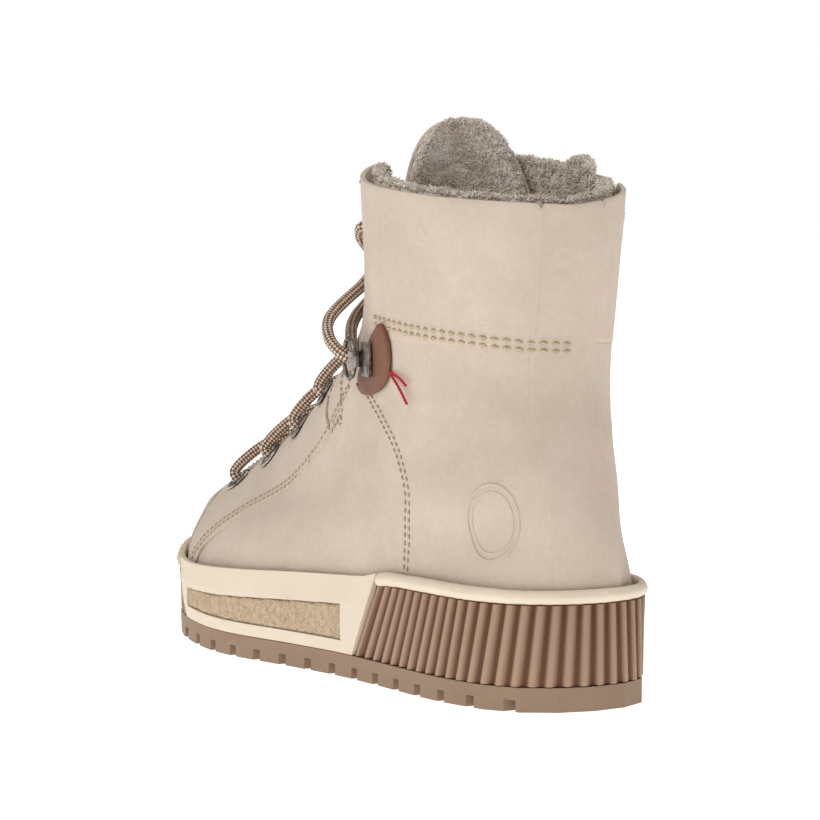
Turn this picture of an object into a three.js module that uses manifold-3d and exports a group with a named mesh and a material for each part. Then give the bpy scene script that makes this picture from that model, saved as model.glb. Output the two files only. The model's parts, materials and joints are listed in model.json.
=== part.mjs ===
// A left lace-up ankle boot with a fleece lining, a zip on the inner side and a cup sole.
// Millimetres, +Z up. The toe points along -Y, the outer side of the foot is +X,
// and the origin lies on the ground under the middle of the outsole.
import * as THREE from 'three';
import { mergeVertices } from 'three/addons/utils/BufferGeometryUtils.js';
import Module from 'manifold-3d';

const wasm = await Module();
wasm.setup();

// ------------------------------------------------------------------ driving dimensions
const soleLength = 280;
const soleWidth = 96;          // across the ball of the foot
const legHeight = 130;         // from the flat of the foot row to the top of the collar
const legRowStart = 52;        // height where the rows of the upper turn level
const touch = 0.3;             // gap kept between pieces that touch
const seamGap = 0.8;           // gap between two panels that butt at a seam

const leatherThick = 2;
const plyGap = 0.9;            // gap between curved layers that lie on each other
const stiffenerThick = 0.6;    // heel counter and toe puff
const liningThick = 4;
const weltInset = 3.3;         // from the outside of the sole wall to the leather
const liningProud = 2;         // fleece standing above the leather at the collar

const heelTop = 40.6;          // top of the heel rim
const treadHeight = 4;
const outsoleTop = 8.2;        // top of the outsole band
const rimHeight = 4.7;
const ribCountHeel = 40;
const ribDepth = 1.2;
const ribTaper = 0.24;         // share of a quarter rib taken by each sloping side
const ribCountToe = 22;
const toeSpring = 6.6;
const boardThick = 2;
const footbedThick = 5;
const shankSize = [12, 104, 1.4];

const eyeletBore = 6.5;
const eyeletWall = 0.5;
const eyeletOuter = 11.4;
const eyeletThick = 1.1;
const eyeletTail = 0.3;          // barrel below the leather
const eyeletSeat = 0.45;         // flange above the curved leather
const laceDiameter = 4.2;

const zipSlot = 9;             // window in the leather over the zip
const tapeWidth = 11;          // each zip tape
const tapeThick = 0.7;
const toothPitch = 4;

const patchThick = 1.8;
const ringWire = 2;

// ------------------------------------------------------------------ small helpers
const mix = (a, b, t) => a + (b - a) * t;
const clamp = (x, lo, hi) => Math.min(hi, Math.max(lo, x));
const smooth = (t) => { const c = clamp(t, 0, 1); return c * c * (3 - 2 * c); };

// Smooth curve through the rows of a table: the first column is the key.
function rowAt(rows, key) {
  const last = rows.length - 1;
  const k = clamp(key, rows[0][0], rows[last][0]);
  let i = 0;
  while (i < last - 1 && rows[i + 1][0] < k) i += 1;
  const span = rows[i + 1][0] - rows[i][0];
  const t = (k - rows[i][0]) / span;
  const slope = (j, c) => {
    const a = Math.max(j - 1, 0);
    const b = Math.min(j + 1, last);
    return (rows[b][c] - rows[a][c]) / (rows[b][0] - rows[a][0]);
  };
  return rows[i].map((value, c) => {
    const p0 = value;
    const p1 = rows[i + 1][c];
    const m0 = slope(i, c) * span;
    const m1 = slope(i + 1, c) * span;
    const t2 = t * t;
    const t3 = t2 * t;
    return (2 * t3 - 3 * t2 + 1) * p0 + (t3 - 2 * t2 + t) * m0
      + (3 * t2 - 2 * t3) * p1 + (t3 - t2) * m1;
  });
}

// Six times the volume inside a closed geometry, negative when its faces point inwards.
function signedVolume(geometry) {
  const [a, b, c] = [new THREE.Vector3(), new THREE.Vector3(), new THREE.Vector3()];
  let sum = 0;
  for (let i = 0; i < geometry.index.count; i += 3) {
    a.fromBufferAttribute(geometry.attributes.position, geometry.index.getX(i));
    b.fromBufferAttribute(geometry.attributes.position, geometry.index.getX(i + 1));
    c.fromBufferAttribute(geometry.attributes.position, geometry.index.getX(i + 2));
    sum += a.dot(b.cross(c));
  }
  return sum;
}

// Merges shared corners and turns the faces outwards.
function weld(geometry) {
  geometry.deleteAttribute('uv');
  geometry.deleteAttribute('normal');
  const merged = mergeVertices(geometry, 1e-4);
  if (signedVolume(merged) < 0) merged.index.array.reverse();
  return merged;
}

function toSolid(geometry) {
  const g = weld(geometry.clone());
  return new wasm.Manifold(new wasm.Mesh({
    numProp: 3,
    vertProperties: new Float32Array(g.attributes.position.array),
    triVerts: new Uint32Array(g.index.array),
  }));
}

function toGeometry(solid) {
  const mesh = solid.getMesh();
  const g = new THREE.BufferGeometry();
  g.setAttribute('position', new THREE.BufferAttribute(new Float32Array(mesh.vertProperties), 3));
  g.setIndex(new THREE.BufferAttribute(new Uint32Array(mesh.triVerts), 1));
  return g;
}

function cut(geometry, tools) {
  let solid = toSolid(geometry);
  for (const tool of tools) solid = solid.subtract(toSolid(tool));
  return toGeometry(solid);
}

function join(pieces) {
  let solid = toSolid(pieces[0]);
  for (const piece of pieces.slice(1)) solid = solid.add(toSolid(piece));
  return toGeometry(solid);
}

const boot = new THREE.Group();
const finishes = {};
function finish(name, colour, roughness, metalness = 0) {
  finishes[name] = { color: colour, roughness, metalness };
}
finish('nubuck', 0xcdbcae, 0.85);
finish('fleece', 0xb8a48f, 1.0);
finish('cream_rubber', 0xe6d4b8, 0.6);
finish('rib_rubber', 0xb09079, 0.6);
finish('outsole_rubber', 0x9c8069, 0.55);
finish('cork_strip', 0xb9a27e, 0.9);
finish('board', 0x8d7b66, 0.9);
finish('steel', 0x8c8c8c, 0.35, 1);
finish('old_silver', 0x77736c, 0.4, 1);
finish('cognac', 0x8a5240, 0.5);
finish('lace', 0x8c6a58, 0.9);
finish('zip_tape', 0xe2d6c2, 0.9);
finish('red_thread', 0xc7303a, 0.8);

function place(name, geometry, kind, parent = boot) {
  const mesh = new THREE.Mesh(geometry, new THREE.MeshStandardMaterial(finishes[kind]));
  mesh.name = name;
  parent.add(mesh);
  return mesh;
}

// ------------------------------------------------------------------ outline of the sole
// Share of the length from the heel, then the distance from the centre line at full width.
const widthScale = soleWidth / 96;
const outerSide = [[0, 0], [0.011, 15], [0.036, 25], [0.09, 33], [0.18, 36.5], [0.29, 37], [0.4, 38],
  [0.51, 42.5], [0.62, 48.5], [0.69, 50], [0.76, 48.5], [0.835, 44], [0.91, 33], [0.968, 17]];
const innerSide = [[1, -6], [0.968, -25], [0.91, -35.5], [0.84, -43], [0.76, -46], [0.69, -45],
  [0.62, -41.5], [0.51, -36.5], [0.4, -34.5], [0.29, -35.5], [0.18, -36.5], [0.09, -33],
  [0.036, -25], [0.011, -15]];
const outlineCurve = new THREE.CatmullRomCurve3(
  [...outerSide, ...innerSide].map(([share, x]) =>
    new THREE.Vector3(x * widthScale, soleLength * (0.5 - share), 0)),
  true, 'centripetal');
outlineCurve.arcLengthDivisions = 800;
const outlineSteps = 720;
const outlinePoints = outlineCurve.getSpacedPoints(outlineSteps);

// Point of the outline: u runs 0 at the heel, 1 near the toe tip, back to 2 at the heel.
function outline(u, outward = 0) {
  const k = (((u / 2) % 1) + 1) % 1 * outlineSteps;
  const i = Math.floor(k);
  const a = outlinePoints[i % outlineSteps];
  const b = outlinePoints[(i + 1) % outlineSteps];
  const before = outlinePoints[(i + outlineSteps - 4) % outlineSteps];
  const after = outlinePoints[(i + 5) % outlineSteps];
  const p = new THREE.Vector2(mix(a.x, b.x, k - i), mix(a.y, b.y, k - i));
  const along = new THREE.Vector2(after.x - before.x, after.y - before.y).normalize();
  return new THREE.Vector2(p.x - along.y * outward, p.y + along.x * outward);
}

const toeTip = -soleLength / 2;
const share = (y) => (soleLength / 2 - y) / soleLength;
const spring = (y) => toeSpring * Math.pow(clamp((share(y) - 0.64) / 0.36, 0, 1), 2);

// Height of the top of the sole wall, by share of the length from the heel.
const wallTops = [[0, heelTop], [0.29, heelTop - 0.4], [0.34, heelTop - 3.2], [0.5, 34.6], [0.7, 31.4],
  [0.82, 30.6], [0.88, 33], [0.94, 35.6], [1, 37.4]];
const wallTop = (y) => rowAt(wallTops, share(y))[1];

// Height of the bed that the insole board lies on, and that the upper is lasted down to.
const bedTops = [[0, 29.5], [0.25, 28], [0.5, 23.4], [0.75, 20.4], [1, 24.4]];
const bedTop = (y) => rowAt(bedTops, share(y))[1];
const lastGap = 0.6;             // from the bed to the lower edge of the upper
const tuckBottom = (y) => bedTop(y) + lastGap;

// ------------------------------------------------------------------ skin of the upper
// Rows of the outer face of the leather: height, back Y, front Y, half width, how much of the
// leg shape it has, and the width of the foot shape.
const ankleY = 72;
const heelBackY = soleLength / 2 - weltInset;
const toeFrontY = toeTip + weltInset;
const legTop = legRowStart + legHeight;
const rows = [
  [38, heelBackY, toeFrontY, 34, 0, 1],
  [45, heelBackY, toeFrontY + 1, 34.5, 0.04, 1],
  [52, heelBackY - 0.3, toeFrontY + 6.5, 35, 0.42, 0.97],
  [58, heelBackY - 1.4, toeFrontY + 17, 35.5, 0.78, 0.94],
  [64, heelBackY - 3, toeFrontY + 32, 35.5, 0.94, 0.91],
  [72, heelBackY - 6, toeFrontY + 52, 35, 1, 0.9],
  [82, heelBackY - 10, toeFrontY + 74, 34, 1, 0.9],
  [95, heelBackY - 14.5, toeFrontY + 98, 33.5, 1, 0.9],
  [108, heelBackY - 17, toeFrontY + 119, 33.5, 1, 0.9],
  [121, heelBackY - 16, toeFrontY + 136, 34.5, 1, 0.9],
  [134, heelBackY - 14, toeFrontY + 143.5, 35.5, 1, 0.9],
  [150, heelBackY - 12, toeFrontY + 145, 37, 1, 0.9],
  [legTop, heelBackY - 10, toeFrontY + 145, 39, 1, 0.9],
];
const legSquareness = 2.15;

function rawSkin(u, h) {
  const [, back, front, half, leg, footWidth] = rowAt(rows, h);
  const foot = outline(u, -weltInset);
  const footY = foot.y > ankleY ? (foot.y - ankleY) / (heelBackY - ankleY) : (foot.y - ankleY) / (ankleY - toeFrontY);
  const angle = Math.PI * u;
  const power = 2 / legSquareness;
  const legX = half * Math.sign(Math.sin(angle)) * Math.pow(Math.abs(Math.sin(angle)), power);
  const legY = Math.sign(Math.cos(angle)) * Math.pow(Math.abs(Math.cos(angle)), power);
  const x = mix(foot.x * footWidth, legX, leg);
  const yn = mix(footY, legY, leg);
  const y = ankleY + (yn > 0 ? yn * (back - ankleY) : yn * (ankleY - front));
  return new THREE.Vector2(x, y);
}

// The zip runs straight, so the inner side is scaled at each height to meet its line.
const zipTop = { x: -37.4, y: 90, z: legTop - 8 };
const zipBottom = { x: -32.6, y: 66, z: legRowStart };
function zipAt(z) {
  const t = (z - zipBottom.z) / (zipTop.z - zipBottom.z);
  return new THREE.Vector3(mix(zipBottom.x, zipTop.x, t), mix(zipBottom.y, zipTop.y, t), z);
}

function bisect(fn, lo, hi) {
  let a = lo;
  let b = hi;
  for (let i = 0; i < 34; i += 1) {
    const m = (a + b) / 2;
    if (fn(m) > 0) a = m; else b = m;
  }
  return (a + b) / 2;
}

const zipScale = [];
for (let h = 38; h <= legTop + 8; h += 2) {
  const level = Math.min(h, legTop);
  const target = zipAt(Math.max(level, legRowStart));
  const v = bisect((w) => rawSkin(2 - w, level).y - target.y, 0.02, 0.7);
  const meet = smooth((level - 44) / 10);
  zipScale.push([h, mix(1, target.x / rawSkin(2 - v, level).x, meet)]);
}

function skin(u, h) {
  const p = rawSkin(u, h);
  const x = p.x < 0 ? p.x * rowAt(zipScale, h)[1] : p.x;
  const low = tuckBottom(p.y);
  const z = h < legRowStart ? mix(low, legRowStart, (h - 38) / (legRowStart - 38)) : h;
  return new THREE.Vector3(x, p.y, z);
}

function rowFor(y, z) {
  if (z >= legRowStart) return z;
  const low = tuckBottom(y);
  return 38 + (legRowStart - 38) * (z - low) / (legRowStart - low);
}

function skinNormal(u, h) {
  const du = 0.004;
  const dh = 0.6;
  const a = skin(u + du, h).sub(skin(u - du, h));
  const b = skin(u, Math.min(h + dh, legTop)).sub(skin(u, Math.max(h - dh, 38)));
  return b.cross(a).normalize();
}

// Point at an offset from the outer face of the leather, outwards positive.
function skinPoint(u, h, off = 0) {
  const over = Math.max(0, h - legTop);
  const level = Math.min(h, legTop);
  const p = skin(u, level).addScaledVector(skinNormal(u, level), off);
  p.z += over;
  return p;
}

// Places on the skin. side is 1 for the outer side and -1 for the inner side,
// and v runs from 0 at the back of the heel to 1 at the front.
const around = (side, v) => (side > 0 ? v : 2 - v);
const vAtY = (side, y, h) => bisect((v) => skin(around(side, v), Math.min(h, legTop)).y - y, 0, 1);
const vAtBackX = (side, x, h) =>
  bisect((v) => x - Math.abs(skin(around(side, v), Math.min(h, legTop)).x), 0, 0.35);
const vAtFrontX = (side, x, h) =>
  bisect((v) => side * skin(around(side, v), Math.min(h, legTop)).x - x, 0.6, 1);

// An edge on the skin: gives the place around the boot at each height, from a curve's points.
function edgeLine(curve, toSkin) {
  const samples = [];
  for (let i = 0; i <= 48; i += 1) {
    const p = curve.getPoint(i / 48);
    samples.push(toSkin(p.x, p.y));
  }
  return (h) => {
    let i = 0;
    while (i < samples.length - 2 && samples[i + 1][1] < h) i += 1;
    const [u0, h0] = samples[i];
    const [u1, h1] = samples[i + 1];
    return mix(u0, u1, clamp((h - h0) / (h1 - h0), 0, 1));
  };
}
const curveOf = (points) => new THREE.SplineCurve(points.map(([a, b]) => new THREE.Vector2(a, b)));

// Seam from points of (Y, Z), moved along Y by a gap.
const seam = (side, points, gap = 0) => edgeLine(curveOf(points), (y, z) => {
  const h = rowFor(y, z);
  return [around(side, vAtY(side, y + gap, h)), h];
});

// Edge at set distances from the centre line in front, from points of (X, row height).
const frontEdge = (side, points, gap = 0) => edgeLine(curveOf(points), (x, h) =>
  [around(side, vAtFrontX(side, x + gap, h)), h]);
const backEdge = (side, x) => (h) => side * vAtBackX(side, x, h);

// A curved sheet on the skin: a box whose grid is laid between two edges and two heights.
function sheet({ from, to, low, high, outer = 0, inner = -leatherThick, nu, nv }) {
  const box = new THREE.BoxGeometry(1, 1, 1, nu, nv, 1);
  const grid = box.attributes.position;
  for (let i = 0; i < grid.count; i += 1) {
    const a = grid.getX(i) + 0.5;
    const b = grid.getY(i) + 0.5;
    let h = mix(38, legTop, b);
    let u = 0;
    for (let pass = 0; pass < 5; pass += 1) {
      u = mix(from(h), to(h), a);
      h = mix(low(u), high(u), b);
    }
    const p = skinPoint(u, h, grid.getZ(i) > 0 ? outer : inner);
    grid.setXYZ(i, p.x, p.y, p.z);
  }
  return weld(box);
}

// A wall that follows the outline of the sole between two places along it.
function wall({ from, to, low, high, outer, inner, nu, nv = 1, nw = 1 }) {
  const box = new THREE.BoxGeometry(1, 1, 1, nu, nv, nw);
  const place3 = box.attributes.position;
  for (let i = 0; i < place3.count; i += 1) {
    const a = place3.getX(i) + 0.5;
    const b = place3.getY(i) + 0.5;
    const c = place3.getZ(i) + 0.5;
    const u = mix(from(b), to(b), a);
    const off = mix(inner(u, a, b), outer(u, a, b), c);
    const p = outline(u, off);
    const z = mix(low(p.y), high(p.y), b);
    place3.setXYZ(i, p.x, p.y, z);
  }
  return weld(box);
}

// Fills the outline of the sole, inset all round: a square grid drawn out to the outline.
const toeU = bisect((u) => outline(u - 0.004).y - outline(u + 0.004).y, 0.8, 1.2);
const sideX = (side, y, inset) => {
  const v = bisect((w) => outline(mix(side > 0 ? 0 : 2, toeU, w), -inset).y - y, 0, 1);
  return outline(mix(side > 0 ? 0 : 2, toeU, v), -inset).x;
};
function plate({ inset, low, high, nu, nv, from = -1, to = 1 }) {
  const box = new THREE.BoxGeometry(2, 2, 1, nu, nv, 1);
  const grid = box.attributes.position;
  const reach = soleLength / 2 - inset - 0.05;
  for (let i = 0; i < grid.count; i += 1) {
    const a = grid.getX(i);
    const b = grid.getY(i);
    const dx = a * Math.sqrt(1 - b * b / 2);
    const dy = b * Math.sqrt(1 - a * a / 2);
    const y = mix(from, to, (dy + 1) / 2) * reach;
    const full = Math.sqrt(Math.max(1e-9, 1 - dy * dy));
    const t = (dx / full + 1) / 2;
    const x = mix(sideX(-1, y, inset), sideX(1, y, inset), clamp(t, 0, 1));
    grid.setXYZ(i, x, y, grid.getZ(i) > 0 ? high(y, x) : low(y, x));
  }
  return weld(box);
}

// ------------------------------------------------------------------ sole unit
const ground = (y) => spring(y);
const bandTop = (y) => outsoleTop + spring(y);
const stepY = { low: 36, high: 53 };            // slanted joint behind the side walls
const frontY = { low: -82, high: -95 };         // slanted joint behind the toe bumper
const uAtY = (side, y) => {
  const v = bisect((w) => outline(mix(side > 0 ? 0 : 2, toeU, w)).y - y, 0, 1);
  return mix(side > 0 ? 0 : 2, toeU, v);
};
const joint = (side, place3, gap) => (b) => uAtY(side, mix(place3.low, place3.high, b) + gap);
const wallInner = -(weltInset - 0.9);

const treads = [];
const treadPitch = 15;
for (let y = toeTip + 12; y < soleLength / 2 - 8; y += treadPitch) {
  const groove = new THREE.BoxGeometry(soleWidth + 30, 4, 2 * treadHeight);
  groove.rotateX(Math.atan((spring(y - 3) - spring(y + 3)) / 6) * -1);
  groove.translate(0, y, ground(y));
  treads.push(groove);
}
const outsole = plate({ inset: 0.6, low: ground, high: bandTop, nu: 8, nv: 18 });
place('outsole', cut(outsole, treads), 'outsole_rubber');

const bedSteps = 16;
const bedAcross = 6;
const core = plate({
  inset: weltInset + 0.4, low: (y) => bandTop(y) + touch, high: bedTop, nu: bedAcross, nv: bedSteps,
});
const [shankWidth, shankLength, shankThick] = shankSize;
const shankY = 32;
const shankZ = (y) => bedTop(y) - shankThick - touch;
function strip(width, length, low, high, clear) {
  const box = new THREE.BoxGeometry(width + 2 * clear, length + 2 * clear, 1, 1, 10, 1);
  const grid = box.attributes.position;
  for (let i = 0; i < grid.count; i += 1) {
    const y = grid.getY(i) + shankY;
    grid.setXYZ(i, grid.getX(i), y, grid.getZ(i) > 0 ? high(y) : low(y));
  }
  return weld(box);
}
const shank = strip(shankWidth, shankLength, shankZ, (y) => shankZ(y) + shankThick, 0);
const shankPocket = strip(shankWidth, shankLength, (y) => shankZ(y) - touch, (y) => bedTop(y) + 2, touch);
place('midsole_core', cut(core, [shankPocket]), 'cream_rubber');
place('shank', shank, 'steel');

const liningInset = weltInset + leatherThick + plyGap + stiffenerThick + plyGap + liningThick;
const bedGap = 0.4;             // bent plates that lie on each other
const boardTop = (y) => bedTop(y) + bedGap + boardThick;
place('insole_board', plate({
  inset: liningInset + 2, low: (y) => bedTop(y) + bedGap, high: boardTop, nu: bedAcross, nv: bedSteps,
}), 'board');
place('footbed', plate({
  inset: liningInset + 3.4, low: (y) => boardTop(y) + bedGap,
  high: (y) => boardTop(y) + bedGap + footbedThick, nu: bedAcross, nv: bedSteps,
}), 'fleece');

// Ribs: a flat-topped wave along the wall.
function ribbedWall({ from, to, low, high, count }) {
  const nu = count * 4;
  const snap = (a) => {
    const k = Math.round(a * nu);
    const shift = { 1: -ribTaper, 2: ribTaper }[k % 4] ?? 0;
    return k === 0 || k === nu ? a : (k + shift) / nu;
  };
  const bulge = (b) => mix(-0.7, -0.1, b);
  const box = new THREE.BoxGeometry(1, 1, 1, nu, 1, 1);
  const grid = box.attributes.position;
  for (let i = 0; i < grid.count; i += 1) {
    const a = grid.getX(i) + 0.5;
    const b = grid.getY(i) + 0.5;
    const c = grid.getZ(i) + 0.5;
    const k = Math.round(a * nu) % 4;
    const rib = k === 0 || k === 1 ? -ribDepth : 0;
    const u = mix(from(b), to(b), snap(a));
    const p = outline(u, c > 0.5 ? rib + bulge(b) : wallInner);
    grid.setXYZ(i, p.x, p.y, mix(low(p.y), high(p.y), b));
  }
  return weld(box);
}
const heelFrom = (b) => joint(-1, stepY, seamGap / 2)(b) - 2;
const heelTo = (b) => joint(1, stepY, seamGap / 2)(b);
const ribTop = (y) => wallTop(y) - rimHeight - touch;
place('heel_rib_wrap', ribbedWall({
  from: heelFrom, to: heelTo, low: (y) => bandTop(y) + touch, high: ribTop, count: ribCountHeel,
}), 'rib_rubber');
const roundEdge = (proud) => (u, a, b) => proud - 1.3 * Math.pow(2 * b - 1, 2);
place('heel_rim', wall({
  from: () => heelFrom(1), to: () => heelTo(1), low: (y) => ribTop(y) + touch, high: wallTop,
  outer: roundEdge(0.9), inner: () => wallInner, nu: 28, nv: 2,
}), 'cream_rubber');
place('toe_rib_bumper', ribbedWall({
  from: joint(1, frontY, -seamGap / 2), to: joint(-1, frontY, -seamGap / 2),
  low: (y) => bandTop(y) + touch, high: ribTop, count: ribCountToe,
}), 'rib_rubber');
place('toe_rim', wall({
  from: () => joint(1, frontY, -seamGap / 2)(1), to: () => joint(-1, frontY, -seamGap / 2)(1),
  low: (y) => ribTop(y) + touch, high: wallTop, outer: roundEdge(0.9), inner: () => wallInner, nu: 18, nv: 2,
}), 'cream_rubber');

const stripDepth = 1.5;
const stripInset = 0.4;
const stripEnds = { rear: 28, front: -80 };
const stripLow = (y) => bandTop(y) + 5;
const stripHigh = (y) => stripLow(y) + mix(6.5, 12.5, (y - stripEnds.front) / (stripEnds.rear - stripEnds.front));
for (const [side, word] of [[1, 'outer'], [-1, 'inner']]) {
  const wallShape = wall({
    from: joint(side, stepY, -seamGap / 2), to: joint(side, frontY, seamGap / 2),
    low: (y) => bandTop(y) + touch, high: wallTop,
    outer: (u, a, b) => 0.2 - 1.2 * Math.pow(b - 0.45, 2) * 2,
    inner: () => wallInner, nu: 16, nv: 3,
  });
  const pocket = wall({
    from: () => uAtY(side, stripEnds.rear + touch), to: () => uAtY(side, stripEnds.front - touch),
    low: (y) => stripLow(y) - touch, high: (y) => stripHigh(y) + touch,
    outer: () => 3, inner: () => -stripDepth, nu: 10,
  });
  const stripShape = wall({
    from: () => uAtY(side, stripEnds.rear), to: () => uAtY(side, stripEnds.front),
    low: stripLow, high: stripHigh, outer: () => -stripInset, inner: () => -stripDepth + touch, nu: 10,
  });
  place(`side_wall_${word}`, cut(wallShape, [pocket]), 'cream_rubber');
  place(`cork_strip_${word}`, stripShape, 'cork_strip');
}

// ------------------------------------------------------------------ leather panels
const stripHalf = 12;                            // back strip, each side of the centre
const collarSeam = (v) => 123 - 8 * v * (1 - v) * 2 + 4 * v;
const rimOuter = [[0, 166], [0.3, 168], [0.5, 170.5], [0.7, 174.5], [0.9, 180], [1, 181.5]];
const rimInner = [[0, 166], [0.2, 169.5], [0.45, 175], [0.65, 180], [0.9, 182], [1, 182]];
const rimAt = (u) => {
  const w = ((u % 2) + 2) % 2;
  return w <= 1 ? rowAt(rimOuter, w)[1] : rowAt(rimInner, 2 - w)[1];
};
const half = seamGap / 2;

// Seams, as (Y, Z) from the sole upwards, the same on both sides of the boot.
const diagonalRow = [[-88, 14], [-86, 24], [-80, 34], [-65, 44], [-48, 52], [-22, 64], [-4, 76], [11, 91], [20, 99], [28, 105]];
const curveRow = [[66, 20], [66, 36], [68, 48], [71, 60], [70, 70], [62, 82], [49, 92], [36, 100]];
const patchSeam = [[30, 106], [30, 114]];
const laceEdge = [[12, 62], [11, 72], [10, 82], [9, 96], [9, 109], [9, 121]];
const collarEdge = [[9, 122], [9.5, 134], [10, 150], [10.5, 168], [11, 182]];
const vampSeam = [[38, 38], [38, 44], [35, 49], [29, 53], [20, 56.5]];
const zipEdge = (offset, gapAtFoot) => {
  const points = [];
  for (let z = 22; z <= 190; z += 8) {
    const open = smooth((z - 36) / 6);
    const y = z > legRowStart ? zipAt(z).y : zipBottom.y;
    points.push([y + offset * mix(gapAtFoot, 1, open), Math.min(z, 190)]);
  }
  return points;
};
const zipHalf = zipSlot / 2;

const foot = () => 38;
const level = (h) => () => h;
const side01 = (u) => { const w = ((u % 2) + 2) % 2; return w <= 1 ? w : 2 - w; };
const underCollar = (u) => collarSeam(side01(u)) - half;
const overCollar = (u) => collarSeam(side01(u)) + half;
const liningTop = (u) => rimAt(u) + liningProud;

const wholeDiagonal = [...diagonalRow, ...patchSeam.slice(1), [30, 134]];
const wholeCurve = [...curveRow, ...patchSeam, [30, 134]];
const wholeFront = [...vampSeam, ...laceEdge, ...collarEdge];
const zipRear = seam(-1, zipEdge(zipHalf, half / zipHalf));
const zipFront = seam(-1, zipEdge(-zipHalf, half / zipHalf));

// Eyelets: the four of the instep as (Y, row height), and the top one as (X, row height).
const instepEyelets = [[-84, 60], [-61, 71], [-38, 83.5], [-17, 97]];
const topEyelet = [15, 158];
function eyeletPlace(side, index) {
  const isTop = index === instepEyelets.length;
  const [a, h] = isTop ? topEyelet : instepEyelets[index];
  const v = isTop ? vAtFrontX(side, a, h) : vAtY(side, a, h);
  const u = around(side, v);
  return { at: skinPoint(u, h), out: skinNormal(u, h) };
}
function along(geometry, { at, out }, shift = 0) {
  const turn = new THREE.Quaternion().setFromUnitVectors(new THREE.Vector3(0, 1, 0), out);
  geometry.applyQuaternion(turn);
  geometry.translate(at.x + out.x * shift, at.y + out.y * shift, at.z + out.z * shift);
  return geometry;
}
const eyeletOuterBore = eyeletBore + 2 * eyeletWall;
const eyeletHole = (spot) => along(new THREE.CylinderGeometry(
  eyeletOuterBore / 2 + touch + 0.4, eyeletOuterBore / 2 + touch + 0.4, 12, 8), spot);

place('back_strip', sheet({
  from: backEdge(-1, stripHalf - half), to: backEdge(1, stripHalf - half),
  low: foot, high: rimAt, nu: 4, nv: 16,
}), 'nubuck');
place('vamp', sheet({
  from: frontEdge(1, vampSeam, -1.6), to: frontEdge(-1, vampSeam, -1.6),
  low: foot, high: level(vampSeam.at(-1)[1]), nu: 12, nv: 8,
}), 'nubuck');

const liningOuter = -(leatherThick + plyGap + stiffenerThick + plyGap);
const liningInner = liningOuter - liningThick;
for (const [side, word] of [[1, 'outer'], [-1, 'inner']]) {
  const holes = instepEyelets.map((_, i) => eyeletHole(eyeletPlace(side, i)));
  const topHole = eyeletHole(eyeletPlace(side, instepEyelets.length));
  const back = backEdge(side, stripHalf + half);
  const backAround = side > 0 ? back : (h) => 2 + back(h);
  place(`facing_${word}`, cut(sheet({
    from: seam(side, wholeDiagonal, -half * 2), to: frontEdge(side, wholeFront, half),
    low: foot, high: underCollar, nu: 6, nv: 14,
  }), holes), 'nubuck');
  if (side > 0) {
    place('quarter_heel_outer', sheet({
      from: backAround, to: seam(side, wholeCurve, half), low: foot, high: underCollar, nu: 12, nv: 10,
    }), 'nubuck');
    place('quarter_middle_outer', sheet({
      from: seam(side, wholeCurve, -half), to: seam(side, wholeDiagonal, half),
      low: foot, high: level(104), nu: 14, nv: 9,
    }), 'nubuck');
    place('collar_outer', cut(sheet({
      from: backAround, to: frontEdge(side, wholeFront, half), low: overCollar, high: rimAt, nu: 16, nv: 5,
    }), [topHole]), 'nubuck');
  } else {
    place('quarter_heel_inner', sheet({
      from: backAround, to: zipRear, low: foot, high: underCollar, nu: 6, nv: 10,
    }), 'nubuck');
    place('quarter_middle_inner', sheet({
      from: zipFront, to: seam(side, wholeDiagonal, half), low: foot, high: underCollar, nu: 14, nv: 10,
    }), 'nubuck');
    place('collar_inner_rear', sheet({
      from: backAround, to: zipRear, low: overCollar, high: rimAt, nu: 4, nv: 5,
    }), 'nubuck');
    place('collar_inner_front', cut(sheet({
      from: zipFront, to: frontEdge(side, wholeFront, half), low: overCollar, high: rimAt, nu: 12, nv: 5,
    }), [topHole]), 'nubuck');
  }
  const eyeletProfile = [
    [eyeletBore / 2, -leatherThick - eyeletTail], [eyeletOuterBore / 2, -leatherThick - eyeletTail],
    [eyeletOuterBore / 2, eyeletSeat],
    [eyeletOuter / 2, eyeletSeat], [eyeletOuter / 2 - 0.6, eyeletSeat + eyeletThick],
    [eyeletBore / 2, eyeletSeat + eyeletThick * 0.7],
    [eyeletBore / 2, -leatherThick - eyeletTail],
  ].map(([r, z]) => new THREE.Vector2(r, z));
  for (let i = 0; i <= instepEyelets.length; i += 1) {
    place(`eyelet_${word}_${i + 1}`, weld(along(new THREE.LatheGeometry(eyeletProfile, 10),
      eyeletPlace(side, i))), 'old_silver');
  }
}

// Heel counter and toe puff, between the leather and the lining.
const stiffener = { outer: -(leatherThick + plyGap), inner: -(leatherThick + plyGap + stiffenerThick) };
const counterY = { inner: 121, outer: 100 };
const puffY = -104;
place('heel_counter', sheet({
  from: (h) => -vAtY(-1, counterY.inner, h), to: (h) => vAtY(1, counterY.outer, h),
  low: foot, high: level(62), nu: 22, nv: 4, ...stiffener,
}), 'board');
place('toe_puff', sheet({
  from: (h) => vAtY(1, puffY, h), to: (h) => 2 - vAtY(-1, puffY, h),
  low: foot, high: level(52), nu: 20, nv: 3, ...stiffener,
}), 'board');

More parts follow.
